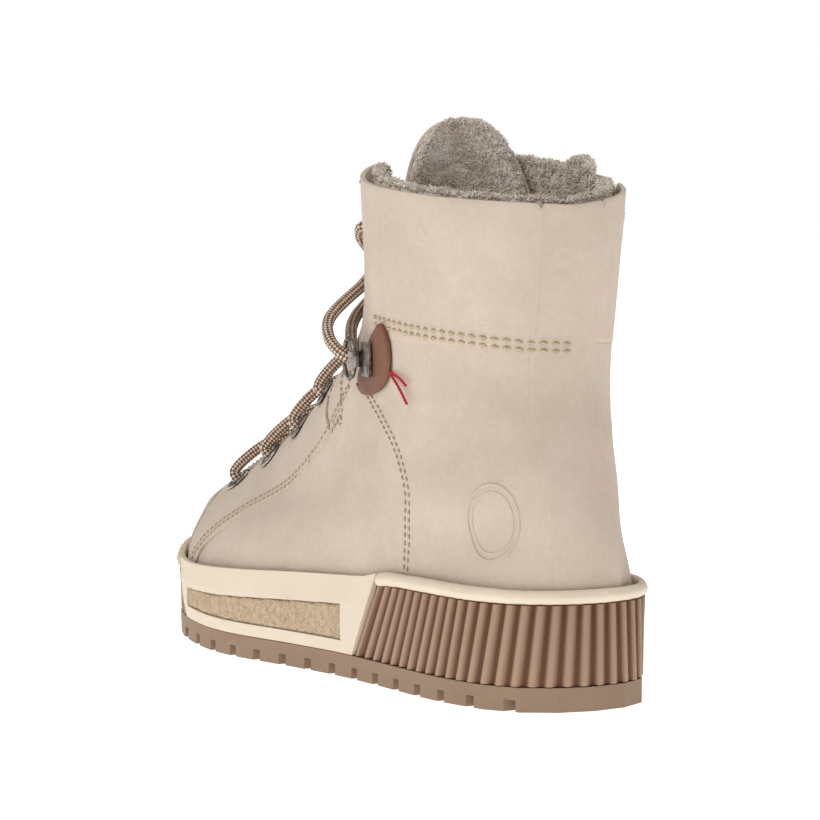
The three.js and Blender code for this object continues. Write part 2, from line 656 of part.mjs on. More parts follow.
// Fleece lining, in four pieces, with a slot behind the zip.
const liningLayer = { outer: liningOuter, inner: liningInner };
const liningEdge = [[39, 38], [39, 44], [36, 50], [31, 56], [28, 62], [27, 76], [26, 96], [24, 116], [22, 134],
  [21, 150], [21, 168], [21, 182]];
const liningFront = (side) => frontEdge(side, liningEdge);
const liningZip = (direction) => seam(-1, zipEdge(direction * (zipHalf + 3), half / (zipHalf + 3)));
const liningHoles = (side) => [0, 1, 2, 3, 4].map((i) => along(
  new THREE.CylinderGeometry(eyeletOuterBore / 2 + 1, eyeletOuterBore / 2 + 1, 30, 8), eyeletPlace(side, i)));
place('lining_outer', cut(sheet({
  from: () => 0.002, to: liningFront(1), low: foot, high: liningTop, nu: 14, nv: 9, ...liningLayer,
}), liningHoles(1)), 'fleece');
place('lining_inner_rear', sheet({
  from: () => 2 - 0.002, to: liningZip(1), low: foot, high: liningTop, nu: 9, nv: 12, ...liningLayer,
}), 'fleece');
place('lining_inner_front', cut(sheet({
  from: liningZip(-1), to: liningFront(-1), low: foot, high: liningTop, nu: 10, nv: 10, ...liningLayer,
}), liningHoles(-1)), 'fleece');
place('lining_vamp', sheet({
  from: frontEdge(1, vampSeam, -2), to: frontEdge(-1, vampSeam, -2),
  low: foot, high: level(vampSeam.at(-1)[1]), nu: 16, nv: 6, ...liningLayer,
}), 'fleece');

// ------------------------------------------------------------------ tongue
// Follows the front of the boot under the lining, then leans back into an arch at the top.
const tongueOuter = liningInner - 0.9;
const tongueThick = 4.5;
const tongueHalf = 23;
const tongueBase = 68;
const tongueTop = 197;
const archCentre = { x: -1.5, y: 54 };
const archRadius = 24.5;
const archTurn = 0.3;            // turned towards the inner side
const archHalf = 1.15;
function tonguePoint(a, z, depth) {
  const h = Math.min(z, legTop);
  const side = a < 0 ? -1 : 1;
  const v = vAtFrontX(side, Math.max(Math.abs(a) * tongueHalf, 0.02), h);
  const low = skinPoint(around(side, v), h, tongueOuter - depth);
  const angle = archTurn * -1 + a * archHalf;
  const radius = archRadius - depth;
  const arch = new THREE.Vector3(
    archCentre.x + radius * Math.sin(angle), archCentre.y - radius * Math.cos(angle), z);
  return low.lerp(arch, smooth((z - 112) / 52));
}
const tongueBox = new THREE.BoxGeometry(2, 1, 1, 10, 14, 1);
const tongueGrid = tongueBox.attributes.position;
for (let i = 0; i < tongueGrid.count; i += 1) {
  const a = tongueGrid.getX(i);
  const b = tongueGrid.getY(i) + 0.5;
  const top = tongueTop - 27 * Math.pow(Math.abs(a), 2.4);
  const z = mix(tongueBase, top, b);
  const p = tonguePoint(a, z, tongueGrid.getZ(i) > 0 ? 0 : tongueThick);
  tongueGrid.setXYZ(i, p.x, p.y, p.z);
}
place('tongue', weld(tongueBox), 'nubuck');

// ------------------------------------------------------------------ zip
const tapeLayer = { outer: -(leatherThick + plyGap), inner: -(leatherThick + plyGap + tapeThick) };
const tapeEdge = (offset) => seam(-1, zipEdge(offset, 1));
const zipBase = legRowStart + 2;
const zipHead = legTop - 14;
for (const [direction, word] of [[1, 'rear'], [-1, 'front']]) {
  place(`zip_tape_${word}`, sheet({
    from: tapeEdge(direction * 0.5), to: tapeEdge(direction * (tapeWidth + 0.5)),
    low: level(zipBase - 4), high: level(zipHead + 5), nu: 3, nv: 8, ...tapeLayer,
  }), 'zip_tape');
}
const zipLine = zipAt(zipHead).sub(zipAt(zipBase));
const zipLength = zipLine.length();
const zipUp = zipLine.clone().normalize();
const zipMiddle = zipAt((zipHead + zipBase) / 2);
const zipOut = skinNormal(2 - vAtY(-1, zipMiddle.y, zipMiddle.z), zipMiddle.z);
zipOut.addScaledVector(zipUp, -zipOut.dot(zipUp)).normalize();
const zipAcross = new THREE.Vector3().crossVectors(zipUp, zipOut);
const zipFrame = (height, out) => {
  const origin = zipAt(zipBase).addScaledVector(zipUp, height).addScaledVector(zipOut, out);
  return new THREE.Matrix4().makeBasis(zipAcross, zipUp, zipOut).setPosition(origin);
};
const toothThick = 1.5;
const chainOut = tapeLayer.outer + 0.5;
function chain(direction, shift) {
  const rootX = 2.6;
  const backX = 3.4;
  const reachX = -0.9;
  const toothHeight = toothPitch / 2 - touch;
  const shape = new THREE.Shape();
  shape.moveTo(direction * backX, 0);
  shape.lineTo(direction * rootX, 0);
  for (let y = shift; y + toothHeight < zipLength; y += toothPitch) {
    shape.lineTo(direction * rootX, y);
    shape.lineTo(direction * reachX, y);
    shape.lineTo(direction * reachX, y + toothHeight);
    shape.lineTo(direction * rootX, y + toothHeight);
  }
  shape.lineTo(direction * rootX, zipLength);
  shape.lineTo(direction * backX, zipLength);
  const comb = new THREE.ExtrudeGeometry(shape, { depth: toothThick, bevelEnabled: false });
  return weld(comb.applyMatrix4(zipFrame(0, chainOut)));
}
place('zip_teeth_rear', chain(1, 0.6), 'old_silver');
place('zip_teeth_front', chain(-1, 0.6 + toothPitch / 2), 'old_silver');
const stopSize = [5.4, 2.6, 1.7];
const bottomStop = new THREE.BoxGeometry(...stopSize);
place('zip_stop', weld(bottomStop.applyMatrix4(zipFrame(-stopSize[1] / 2 - touch, chainOut + stopSize[2] / 2))),
  'old_silver');
const sliderSize = [8, 11, 1.3];
const earSize = [1.1, 3, 3.4];
const pinDiameter = 1.4;
const pinRise = 1.9;
const sliderOut = chainOut + toothThick + touch;
const sliderHeight = zipLength - sliderSize[1] / 2;
const sliderPlate = new THREE.BoxGeometry(...sliderSize).translate(0, 0, sliderSize[2] / 2);
const earX = 2.6;
const ears = [-1, 1].map((s) => new THREE.BoxGeometry(...earSize).translate(
  s * earX, 1, sliderSize[2] + earSize[2] / 2 - 0.4));
const pin = new THREE.CylinderGeometry(pinDiameter / 2, pinDiameter / 2, 2 * earX, 12)
  .rotateZ(Math.PI / 2).translate(0, 1, sliderSize[2] + pinRise);
place('zip_slider', join([sliderPlate, ...ears, pin]).applyMatrix4(zipFrame(sliderHeight, sliderOut)), 'old_silver');
const tabWidth = 3.2;
const tabLength = 20;
const tabThick = 1.2;
const tabPlate = new THREE.BoxGeometry(5, tabLength - 4, tabThick).translate(0, -tabLength / 2 - 1, 0);
const tabNeck = new THREE.BoxGeometry(tabWidth, 4, tabThick).translate(0, -2.6, 0);
const tabEye = new THREE.CylinderGeometry(1.9, 1.9, tabWidth, 14).rotateZ(Math.PI / 2);
const tabBore = new THREE.CylinderGeometry(pinDiameter / 2 + touch, pinDiameter / 2 + touch, 10, 14)
  .rotateZ(Math.PI / 2);
const tab = cut(join([tabEye, tabNeck, tabPlate]), [tabBore]);
tab.translate(0, 1, sliderSize[2] + pinRise);
place('zip_pull_tab', tab.applyMatrix4(zipFrame(sliderHeight, sliderOut)), 'old_silver');

// Guard behind the zip, between the lining and the foot, with a round top.
const guardOuter = liningInner - 0.5;
const guardThick = 2.6;
const guardEdges = { rear: 9, front: -24 };
const guardU = [seam(-1, zipEdge(guardEdges.rear, 1)), seam(-1, zipEdge(guardEdges.front, 1))];
place('zip_guard', sheet({
  from: guardU[0], to: guardU[1], low: level(56),
  high: (u) => {
    const t = clamp((guardU[0](170) - u) / (guardU[0](170) - guardU[1](170)), 0, 1);
    return 173 + 9 * Math.sqrt(Math.max(0, 1 - Math.pow(2 * t - 1, 2)));
  },
  outer: guardOuter, inner: guardOuter - guardThick, nu: 8, nv: 9,
}), 'fleece');

// ------------------------------------------------------------------ ankle rings
// A leather patch on each side with a clip whose barrel carries an oval ring.
const patchSpot = { y: 44, h: 113 };
const patchHalf = { across: 9.5, up: 13.5 };
const patchLift = 0.5;
const plateSize = [8, 12, 0.9];
const barrelOuter = 5;
const barrelBore = 3.4;
const barrelLength = 5.5;
const ringHalf = { across: 5.6, up: 7 };
const ringAt = {};
for (const [side, word] of [[1, 'outer'], [-1, 'inner']]) {
  const u0 = around(side, vAtY(side, patchSpot.y, patchSpot.h));
  const centre = skinPoint(u0, patchSpot.h);
  const perMillimetre = 0.01 / skinPoint(u0 + 0.01, patchSpot.h).distanceTo(centre);
  const pad = new THREE.BoxGeometry(2, 2, 1, 4, 5, 1);
  const grid = pad.attributes.position;
  for (let i = 0; i < grid.count; i += 1) {
    const a = grid.getX(i);
    const b = grid.getY(i);
    const dx = a * Math.sqrt(1 - b * b / 2);
    const dy = b * Math.sqrt(1 - a * a / 2);
    const taper = 1 - 0.25 * dy;
    const p = skinPoint(u0 + dx * taper * patchHalf.across * perMillimetre, patchSpot.h + dy * patchHalf.up,
      patchLift + (grid.getZ(i) > 0 ? patchThick : 0));
    grid.setXYZ(i, p.x, p.y, p.z);
  }
  place(`patch_${word}`, weld(pad), 'cognac');

  const out = skinNormal(u0, patchSpot.h);
  const up = new THREE.Vector3(0, 0, 1).addScaledVector(out, -out.z).normalize();
  const ahead = new THREE.Vector3().crossVectors(up, out);
  if (ahead.y > 0) ahead.negate();
  const frame = (forward, rise, lift) => new THREE.Matrix4().makeBasis(ahead, up,
    new THREE.Vector3().crossVectors(ahead, up)).setPosition(centre.clone()
    .addScaledVector(ahead, forward).addScaledVector(up, rise).addScaledVector(out, lift));
  const plateLift = patchLift + patchThick + touch + 0.3 + plateSize[2] / 2;
  const barrelLift = plateLift - plateSize[2] / 2 + barrelOuter / 2;
  const barrelAhead = plateSize[0] / 2 + barrelOuter / 2 - 1;
  const plate3 = new THREE.BoxGeometry(...plateSize).applyMatrix4(frame(0, 0, plateLift));
  const barrel = new THREE.CylinderGeometry(barrelOuter / 2, barrelOuter / 2, barrelLength, 14)
    .applyMatrix4(frame(barrelAhead, 0, barrelLift));
  const bore = new THREE.CylinderGeometry(barrelBore / 2, barrelBore / 2, 30, 14)
    .applyMatrix4(frame(barrelAhead, 0, barrelLift));
  place(`clip_${word}`, cut(join([plate3, barrel]), [bore]), 'old_silver');
  const ring = new THREE.TorusGeometry(1, ringWire / 2 / ringHalf.up, 7, 18);
  ring.scale(ringHalf.across, ringHalf.up, ringHalf.up);
  ringAt[side] = (forward, rise, lift) => new THREE.Vector3().setFromMatrixPosition(
    frame(barrelAhead + ringHalf.across + forward, rise, barrelLift + lift));
  place(`lace_ring_${word}`, weld(ring.applyMatrix4(
    frame(barrelAhead + ringHalf.across, 0, barrelLift))), 'old_silver');
}
// ------------------------------------------------------------------ lace
// One lace in two halves that start together under the lowest pair of eyelets. Each half crosses
// from side to side, comes out of a top eyelet, turns through the ring of the other side and
// ends between the collar and the tongue.
const laceUnder = -5.6;          // between the leather and the tongue
const laceOver = 2.9;            // on the leather
const stepsPerPoint = 2;
const tipDiameter = 3.8;
class LaceRoute extends THREE.CatmullRomCurve3 {
  getPointAt(t) { return this.getPoint(t); }

  getTangentAt(t) { return this.getTangent(t); }
}
const onSkin = (x, h, off) => {
  const side = x < 0 ? -1 : 1;
  return skinPoint(around(side, vAtFrontX(side, Math.max(Math.abs(x), 0.02), h)), h, off);
};
const moved = (p, n, out, x, z = 0) => p.clone().addScaledVector(n, out).add(new THREE.Vector3(x, 0, z));
const onTop = (x, y, off) => onSkin(x, bisect((h) => y - onSkin(x, h, 0).y, 42, 128), off);
function laceHalf(start) {
  const points = [0.6, 4, 10].map((x) => onTop(start * x, -84, laceUnder));
  for (let i = 0; i < instepEyelets.length; i += 1) {
    const side = i % 2 ? -start : start;
    const { at, out } = eyeletPlace(side, i);
    const y = instepEyelets[i][0];
    const next = i + 1 < instepEyelets.length ? instepEyelets[i + 1][0] : y + 20;
    points.push(onTop(at.x - side * 3.8, y, -5.3));
    points.push(moved(at, out, -3.1, 0));
    points.push(moved(at, out, 2, 0));
    points.push(moved(at, out, 4.9, -side * 1.4));
    points.push(onTop(side * 12.5, mix(y, next, 0.25), laceOver + 0.8));
    if (side > 0) {
      points.push(onTop(0.1, mix(y, next, 0.5), 1.7));
      points.push(onTop(-3, mix(y, next, 0.57), 0.4));
    } else {
      points.push(onTop(-9.2, mix(y, next, 0.34), 2.9));
      points.push(onTop(-3, mix(y, next, 0.44), -3.6));
      points.push(onTop(0.1, mix(y, next, 0.5), -4.3));
    }
    points.push(onTop(-side * 7.4, mix(y, next, 0.68), -4.5));
    points.push(onTop(-side * 12.5, mix(y, next, 0.87), -4.8));
  }
  const { at, out } = eyeletPlace(start, instepEyelets.length);
  points.push(onSkin(start * 12.8, 127, laceUnder));
  points.push(moved(at, out, -6.6, 0, -10));
  points.push(moved(at, out, -5.8, 0, -3.2));
  points.push(moved(at, out, -2.6, 0, -0.1));
  points.push(moved(at, out, 1.6, 0));
  points.push(moved(at, out, 6, 0, 0.3));
  points.push(moved(at, out, 10.5, -start * 4, -3.5));
  points.push(new THREE.Vector3(start * 0.1, start > 0 ? 0.2 : 5, 141));
  const far = -start;
  points.push(onSkin(far * 13, 131, laceOver + 0.5));
  points.push(onSkin(far * 23, 122.5, laceOver + 0.7));
  const ringRoute = [[8, 1.5, -4.4], [2.2, -0.6, -2.7], [-0.9, 0, 0], [0.6, 2.4, 3.4], [5, 6.5, 5.4], [12, 13, 3]];
  for (const [forward, rise, lift] of ringRoute) points.push(ringAt[far](forward, rise, lift));
  points.push(onSkin(far * 19, 137, laceOver + 0.6));
  points.push(onSkin(far * 12.4, 140.5, laceOver + 0.6));
  points.push(new THREE.Vector3(far * 6.4, 8.6, 141.2));
  points.push(new THREE.Vector3(far * 5.2, 13.6, 138));
  points.push(new THREE.Vector3(far * 4.8, 13.9, 133));
  return points;
}
for (const [start, word] of [[1, 'outer'], [-1, 'inner']]) {
  const points = laceHalf(start);
  const tube = (route, diameter, steps) => {
    const circle = new THREE.Shape().absarc(0, 0, diameter / 2, 0, 2 * Math.PI);
    return weld(new THREE.ExtrudeGeometry(circle, { steps, curveSegments: 4, bevelEnabled: false, extrudePath: route }));
  };
  place(`lace_${word}`, tube(new LaceRoute(points), laceDiameter, (points.length - 1) * stepsPerPoint), 'lace');
  const tail = points.at(-1).clone().sub(points.at(-2)).normalize();
  const tipStart = points.at(-1).clone().addScaledVector(tail, 3 * touch);
  const tipRoute = new THREE.LineCurve3(tipStart, new THREE.Vector3(-start * 4.4, 9, 121));
  place(`lace_tip_${word}`, tube(tipRoute, tipDiameter, 1), 'aglet');
}

export default boot;
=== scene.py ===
"""A left lace-up ankle boot with a fleece lining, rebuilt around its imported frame.

Metres, +Z up, the toe towards -Y, the outer side of the foot towards +X.
"""
import json
import logging
import math
import random
from dataclasses import dataclass, field
from enum import Enum
from typing import Callable, Optional, Sequence

import bmesh
import bpy
from mathutils import Matrix, Vector, noise
from mathutils.bvhtree import BVHTree
from mathutils.kdtree import KDTree

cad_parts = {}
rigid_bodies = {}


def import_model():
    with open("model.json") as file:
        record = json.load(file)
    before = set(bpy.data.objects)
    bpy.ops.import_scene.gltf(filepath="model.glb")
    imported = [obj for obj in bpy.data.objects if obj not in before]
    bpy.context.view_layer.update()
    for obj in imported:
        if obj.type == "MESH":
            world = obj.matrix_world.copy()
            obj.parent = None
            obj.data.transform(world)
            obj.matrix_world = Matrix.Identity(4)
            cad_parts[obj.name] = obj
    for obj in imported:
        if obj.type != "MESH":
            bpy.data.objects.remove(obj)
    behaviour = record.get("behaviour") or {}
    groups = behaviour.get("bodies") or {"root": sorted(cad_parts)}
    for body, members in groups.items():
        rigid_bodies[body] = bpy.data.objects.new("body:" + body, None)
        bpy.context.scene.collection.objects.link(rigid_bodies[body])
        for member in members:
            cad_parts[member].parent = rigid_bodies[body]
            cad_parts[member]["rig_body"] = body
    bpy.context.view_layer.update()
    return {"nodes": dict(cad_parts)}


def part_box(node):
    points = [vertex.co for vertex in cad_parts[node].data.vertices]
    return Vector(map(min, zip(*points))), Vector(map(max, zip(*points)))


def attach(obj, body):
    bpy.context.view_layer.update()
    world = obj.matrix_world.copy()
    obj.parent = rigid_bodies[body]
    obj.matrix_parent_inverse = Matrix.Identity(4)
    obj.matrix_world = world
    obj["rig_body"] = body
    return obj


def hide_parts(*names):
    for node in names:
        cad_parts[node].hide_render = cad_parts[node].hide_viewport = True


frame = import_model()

NODES: dict = frame["nodes"]
MM = 0.001
LOG = logging.getLogger("boot")
Point = tuple[float, float, float]


def srgb(red: float, green: float, blue: float) -> tuple[float, float, float, float]:
    """Turns a display colour of 0 to 255 into the linear colour that a shader takes."""
    def linear(part: float) -> float:
        """One channel."""
        share = part / 255
        return share / 12.92 if share <= 0.04045 else ((share + 0.055) / 1.055) ** 2.4
    return (linear(red), linear(green), linear(blue), 1.0)


def clamp(value: float, low: float = 0.0, high: float = 1.0) -> float:
    """Keeps a value between two limits."""
    return min(high, max(low, value))


def wobble(point: Vector, scale: float, seed: float = 0.0) -> float:
    """Smooth noise from about -1 to 1 whose bumps are about 1 / scale metres apart."""
    return noise.noise(point * scale + Vector((seed, seed * 1.7, -seed)))


# ---------------------------------------------------------------- shader expressions
class Sock:
    """One output socket, with Python's operators."""

    def __init__(self, paint: "Paint", socket: bpy.types.NodeSocket) -> None:
        """Keeps the material that the socket belongs to."""
        self.paint = paint
        self.socket = socket

    def _math(self, operation: str, first: object, second: object = 0.0) -> "Sock":
        """One Math node."""
        node = self.paint.node("ShaderNodeMath", {"operation": operation}, {0: first, 1: second})
        return Sock(self.paint, node.outputs[0])

    def __add__(self, other: object) -> "Sock":
        """self + other."""
        return self._math("ADD", self, other)

    def __sub__(self, other: object) -> "Sock":
        """self - other."""
        return self._math("SUBTRACT", self, other)

    def __rsub__(self, other: object) -> "Sock":
        """other - self."""
        return self._math("SUBTRACT", other, self)

    def __mul__(self, other: object) -> "Sock":
        """self * other."""
        return self._math("MULTIPLY", self, other)

    def __gt__(self, other: object) -> "Sock":
        """1 where self is above other."""
        return self._math("GREATER_THAN", self, other)

    def __pow__(self, other: object) -> "Sock":
        """self to the power of other."""
        return self._math("POWER", self, other)

    def sine(self) -> "Sock":
        """Sine, in radians."""
        return self._math("SINE", self)

    def absolute(self) -> "Sock":
        """Absolute value."""
        return self._math("ABSOLUTE", self)

    __radd__ = __add__
    __rmul__ = __mul__


class Paint:
    """A material with one Principled shader, built from expressions."""

    def __init__(self, name: str, **constants: float) -> None:
        """Makes the material and sets the shader's constant sockets.

        Args:
            name: the material's name.
            constants: socket names with spaces written as underscores, and their values.
        """
        self.material = bpy.data.materials.new("made_" + name)
        self.material.use_nodes = True
        self.tree = self.material.node_tree
        self.shader = self.tree.nodes["Principled BSDF"]
        self._coords: Optional[Sock] = None
        for socket, value in constants.items():
            self.shader.inputs[socket.replace("_", " ").title().replace("Ior", "IOR")].default_value = value

    def node(self, kind: str, settings: dict, values: dict) -> bpy.types.Node:
        """Makes any node: its settings first, then its sockets' values or links.

        Args:
            kind: the node's type name.
            settings: its properties; "stops" are a colour ramp's (position, colour) pairs.
            values: a value or a Sock for each input, by index or name.

        Returns:
            The node.
        """
        made = self.tree.nodes.new(kind)
        for key, value in settings.items():
            if key == "stops":
                ramp = made.color_ramp
                while len(ramp.elements) < len(value):
                    ramp.elements.new(0.5)
                for element, (position, colour) in zip(ramp.elements, value):
                    element.position = position
                    element.color = colour
            else:
                setattr(made, key, value)
        for key, value in values.items():
            if isinstance(value, Sock):
                self.tree.links.new(value.socket, made.inputs[key])
            else:
                made.inputs[key].default_value = value
        return made

    def coords(self) -> Sock:
        """Object coordinates, in metres."""
        if self._coords is None:
            self._coords = Sock(self, self.node("ShaderNodeTexCoord", {}, {}).outputs["Object"])
        return self._coords

    def split(self, vector: Sock) -> tuple[Sock, Sock, Sock]:
        """The three parts of a vector."""
        node = self.node("ShaderNodeSeparateXYZ", {}, {0: vector})
        return tuple(Sock(self, out) for out in node.outputs)

    def uv(self) -> Sock:
        """The piece's own UV map."""
        return Sock(self, self.node("ShaderNodeUVMap", {"uv_map": "UVMap"}, {}).outputs[0])

    def noise(self, scale: float, detail: float = 2.0, roughness: float = 0.5) -> Sock:
        """Noise of about 0 to 1 over the object."""
        node = self.node("ShaderNodeTexNoise", {}, {
            "Vector": self.coords(), "Scale": scale, "Detail": detail, "Roughness": roughness})
        return Sock(self, node.outputs["Fac"])

    def cells(self, scale: float) -> Sock:
        """Distance to the nearest cell point, about 0 to 1."""
        node = self.node("ShaderNodeTexVoronoi", {}, {"Vector": self.coords(), "Scale": scale})
        return Sock(self, node.outputs["Distance"])

    def ramp(self, value: Sock, *stops: tuple[float, tuple]) -> Sock:
        """A colour from a value."""
        node = self.node("ShaderNodeValToRGB", {"stops": stops}, {0: value})
        return Sock(self, node.outputs[0])

    def blend(self, share: object, first: object, second: object) -> Sock:
        """Mixes two colours."""
        node = self.node("ShaderNodeMix", {"data_type": "RGBA"}, {0: share, 6: first, 7: second})
        return Sock(self, node.outputs[2])

    def feed(self, socket: str, value: Sock) -> None:
        """Links a value to one of the shader's sockets."""
        self.tree.links.new(value.socket, self.shader.inputs[socket])

    def bump(self, height: Sock, distance: float, strength: float = 1.0) -> None:
        """Feeds a bump of that height in metres to the shader's normal."""
        node = self.node("ShaderNodeBump", {}, {
            "Height": height, "Distance": distance, "Strength": strength})
        self.feed("Normal", Sock(self, node.outputs[0]))


# ---------------------------------------------------------------- finishes
@dataclass(frozen=True)
class Finish:
    """What two-tone finishes share: the material's name, the record's slot and the tones."""

    name: str
    slot: str
    light: tuple
    dark: tuple


@dataclass(frozen=True)
class Nubuck(Finish):
    """Matte brushed leather with a soft mottle."""

    grain: float = 900.0
    rough: float = 0.86

    def build(self) -> bpy.types.Material:
        """Builds the material."""
        paint = Paint(self.name, sheen_weight=0.06, sheen_roughness=0.5, specular_ior_level=0.12)
        patches = paint.noise(34, 4, 0.6)
        speckle = paint.noise(420, 3, 0.6)
        tone = patches * 0.7 + speckle * 0.3
        colour = paint.ramp(tone, (0.30, self.dark), (0.68, self.light))
        pores = paint.cells(self.grain)
        scuffs = paint.noise(150, 5, 0.65)
        paint.feed("Base Color", paint.blend(pores * 0.16, colour, self.dark))
        paint.feed("Roughness", self.rough - scuffs * 0.14)
        paint.bump(paint.noise(self.grain * 1.3, 3) * 0.5 + scuffs * 0.9, 0.00022)
        return paint.material


@dataclass(frozen=True)
class Fleece:
    """Heather fleece: locks of several tones."""

    name: str
    slot: str
    tones: tuple
    scale: float = 300.0

    def build(self) -> bpy.types.Material:
        """Builds the material."""
        paint = Paint(self.name, sheen_weight=0.3, sheen_roughness=0.6, specular_ior_level=0.1)
        broad = paint.noise(self.scale * 0.35, 2)
        fine = paint.noise(self.scale, 3, 0.7)
        tone = broad * 0.45 + fine * 0.55
        places = (0.34, 0.45, 0.54, 0.66)
        paint.feed("Base Color", paint.ramp(tone, *zip(places, self.tones)))
        paint.feed("Roughness", 0.98 - fine * 0.1)
        paint.bump(paint.noise(self.scale * 5, 3, 0.7), 0.0006)
        return paint.material


@dataclass(frozen=True)
class Rubber(Finish):
    """Moulded rubber with faint clouding and a fine skin."""

    rough: float = 0.55
    speck: float = 0.1
    # a darker colour painted into the grooves between ribs as painted shade, or None
    groove: Optional[tuple] = None

    def build(self) -> bpy.types.Material:
        """Builds the material."""
        paint = Paint(self.name, specular_ior_level=0.22)
        clouds = paint.noise(55, 4, 0.6)
        specks = paint.noise(1300, 2)
        colour = paint.blend(clouds * (1 - self.speck) + specks * self.speck, self.dark, self.light)
        # Painted shade: the grooves between the ribs are mixed towards a darker colour by a per-vertex mask.
        if self.groove:
            attribute = paint.node("ShaderNodeAttribute", {"attribute_name": "groove"}, {})
            colour = paint.blend(Sock(paint, attribute.outputs["Fac"]), colour, self.groove)
        paint.feed("Base Color", colour)
        paint.feed("Roughness", self.rough + clouds * 0.2 - 0.1)
        paint.bump(paint.noise(700, 4, 0.6), 0.00012)
        return paint.material


@dataclass(frozen=True)
class Suede(Finish):
    """Coarse golden-brown suede of the strip in the sole wall."""

    def build(self) -> bpy.types.Material:
        """Builds the material."""
        paint = Paint(self.name, specular_ior_level=0.15)
        _, along, up = paint.split(paint.coords())
        threads = (along * 4200.0).sine() * (up * 4200.0).sine()
        nap = paint.noise(520, 4, 0.7)
        tone = nap * 0.8 + threads * 0.12 + 0.08
        paint.feed("Base Color", paint.ramp(tone, (0.28, self.dark), (0.62, self.light)))
        paint.feed("Roughness", 0.95 - nap * 0.08)
        paint.bump(nap + threads * 0.25, 0.0004)
        return paint.material


@dataclass(frozen=True)
class OldMetal(Finish):
    """Antique silver, darker in its pits."""

    def build(self) -> bpy.types.Material:
        """Builds the material."""
        paint = Paint(self.name, metallic=1.0)
        stain = paint.noise(240, 4, 0.65)
        paint.feed("Base Color", paint.ramp(stain, (0.36, self.dark), (0.62, self.light)))
        paint.feed("Roughness", 0.55 - stain * 0.3)
        paint.bump(paint.noise(900, 3), 0.00008)
        return paint.material


@dataclass(frozen=True)
class Braid(Finish):
    """Two-tone braid that follows the lace's own UV map."""

    around: float = 4.0
    along: float = 430.0

    def build(self) -> bpy.types.Material:
        """Builds the material."""
        paint = Paint(self.name, specular_ior_level=0.2, sheen_weight=0.2)
        u, v, _ = paint.split(paint.uv())
        turn = u * (self.around * math.tau)
        run = v * (self.along * math.tau)
        right = (turn + run).sine()
        left = (turn - run).sine()
        weave = right * left
        fibre = paint.noise(1500, 3, 0.6)
        paint.feed("Base Color", paint.ramp(
            weave * 0.5 + fibre * 0.5 + 0.2, (0.30, self.dark), (0.44, self.dark), (0.52, self.light)))
        paint.feed("Roughness", 0.85 + fibre * 0.1)
        paint.bump(weave.absolute() ** 0.5 + fibre * 0.4, 0.0003)
        return paint.material


@dataclass(frozen=True)
class Weave(Finish):
    """Woven tape or twisted thread."""

    pitch: float = 2600.0

    def build(self) -> bpy.types.Material:
        """Builds the material."""
        paint = Paint(self.name, specular_ior_level=0.2)
        x, y, z = paint.split(paint.coords())
        ribs = ((x + y) * self.pitch + z * self.pitch).sine() * ((x + y) * self.pitch - z * self.pitch).sine()
        fibre = paint.noise(1200, 3, 0.6)
        paint.feed("Base Color", paint.blend(fibre * 0.7 + ribs * 0.3, self.dark, self.light))
        paint.feed("Roughness", 0.8 + fibre * 0.15)
        paint.bump(ribs * 0.6 + fibre, 0.0002)
        return paint.material


NUBUCK_LIGHT = srgb(211, 195, 179)
NUBUCK_DARK = srgb(194, 176, 159)
FLEECE_TONES = (srgb(210, 190, 171), srgb(234, 219, 202), srgb(246, 235, 220), srgb(254, 247, 236))


class Look(Enum):
    """Every finish on the boot."""

    NUBUCK = Nubuck("nubuck", "nubuck", NUBUCK_LIGHT, NUBUCK_DARK)
    COGNAC = Nubuck("cognac_leather", "cognac", srgb(138, 92, 70), srgb(92, 58, 44), 1400.0, 0.55)
    FLEECE = Fleece("heather_fleece", "fleece", FLEECE_TONES)
    CREAM = Rubber("cream_rubber", "cream_rubber", srgb(232, 218, 199), srgb(217, 200, 177))
    # Rib rubber; its last colour is painted shade for the grooves between the ribs.
    RIBS = Rubber("rib_rubber", "rib_rubber", srgb(174, 145, 122), srgb(156, 127, 104), 0.6, 0.1, srgb(98, 64, 44))
    TREAD = Rubber("outsole_rubber", "outsole_rubber", srgb(160, 135, 113), srgb(136, 111, 90), 0.6)
    CRUST = Rubber("toe_rim_rubber", "cream_rubber", srgb(228, 212, 188), srgb(204, 182, 154), 0.8, 0.5)
    STRIP = Suede("strip_suede", "strip_weave", srgb(208, 187, 160), srgb(160, 136, 106))
    SILVER = OldMetal("antique_silver", "old_silver", srgb(176, 170, 162), srgb(84, 78, 73))
    STEEL = OldMetal("shank_steel", "steel", srgb(175, 175, 175), srgb(120, 120, 120))
    LACE = Braid("lace_braid", "lace", srgb(224, 204, 182), srgb(116, 80, 60))
    TIP = Rubber("lace_tip", "aglet", srgb(104, 80, 66), srgb(72, 54, 44), 0.3)
    THREAD = Weave("stitch_thread", "nubuck", srgb(226, 208, 178), srgb(184, 162, 132), 5200.0)
    FINE_THREAD = Weave("fine_thread", "nubuck", srgb(212, 194, 170), srgb(174, 152, 128), 5200.0)
    EDGE_THREAD = Weave("edge_thread", "nubuck", srgb(214, 190, 140), srgb(170, 144, 98), 5200.0)
    TAPE = Weave("zip_tape", "zip_tape", srgb(226, 214, 194), srgb(192, 176, 152))
    RED = Weave("red_thread", "red_thread", srgb(226, 70, 82), srgb(172, 34, 48), 5200.0)
    BOARD = Weave("fibre_board", "board", srgb(160, 142, 120), srgb(122, 104, 86), 900.0)

    @property
    def slot(self) -> str:
        """The record's slot."""
        return self.value.slot

    def material(self) -> bpy.types.Material:
        """The material, built once."""
        return bpy.data.materials.get("made_" + self.value.name) or self.value.build()


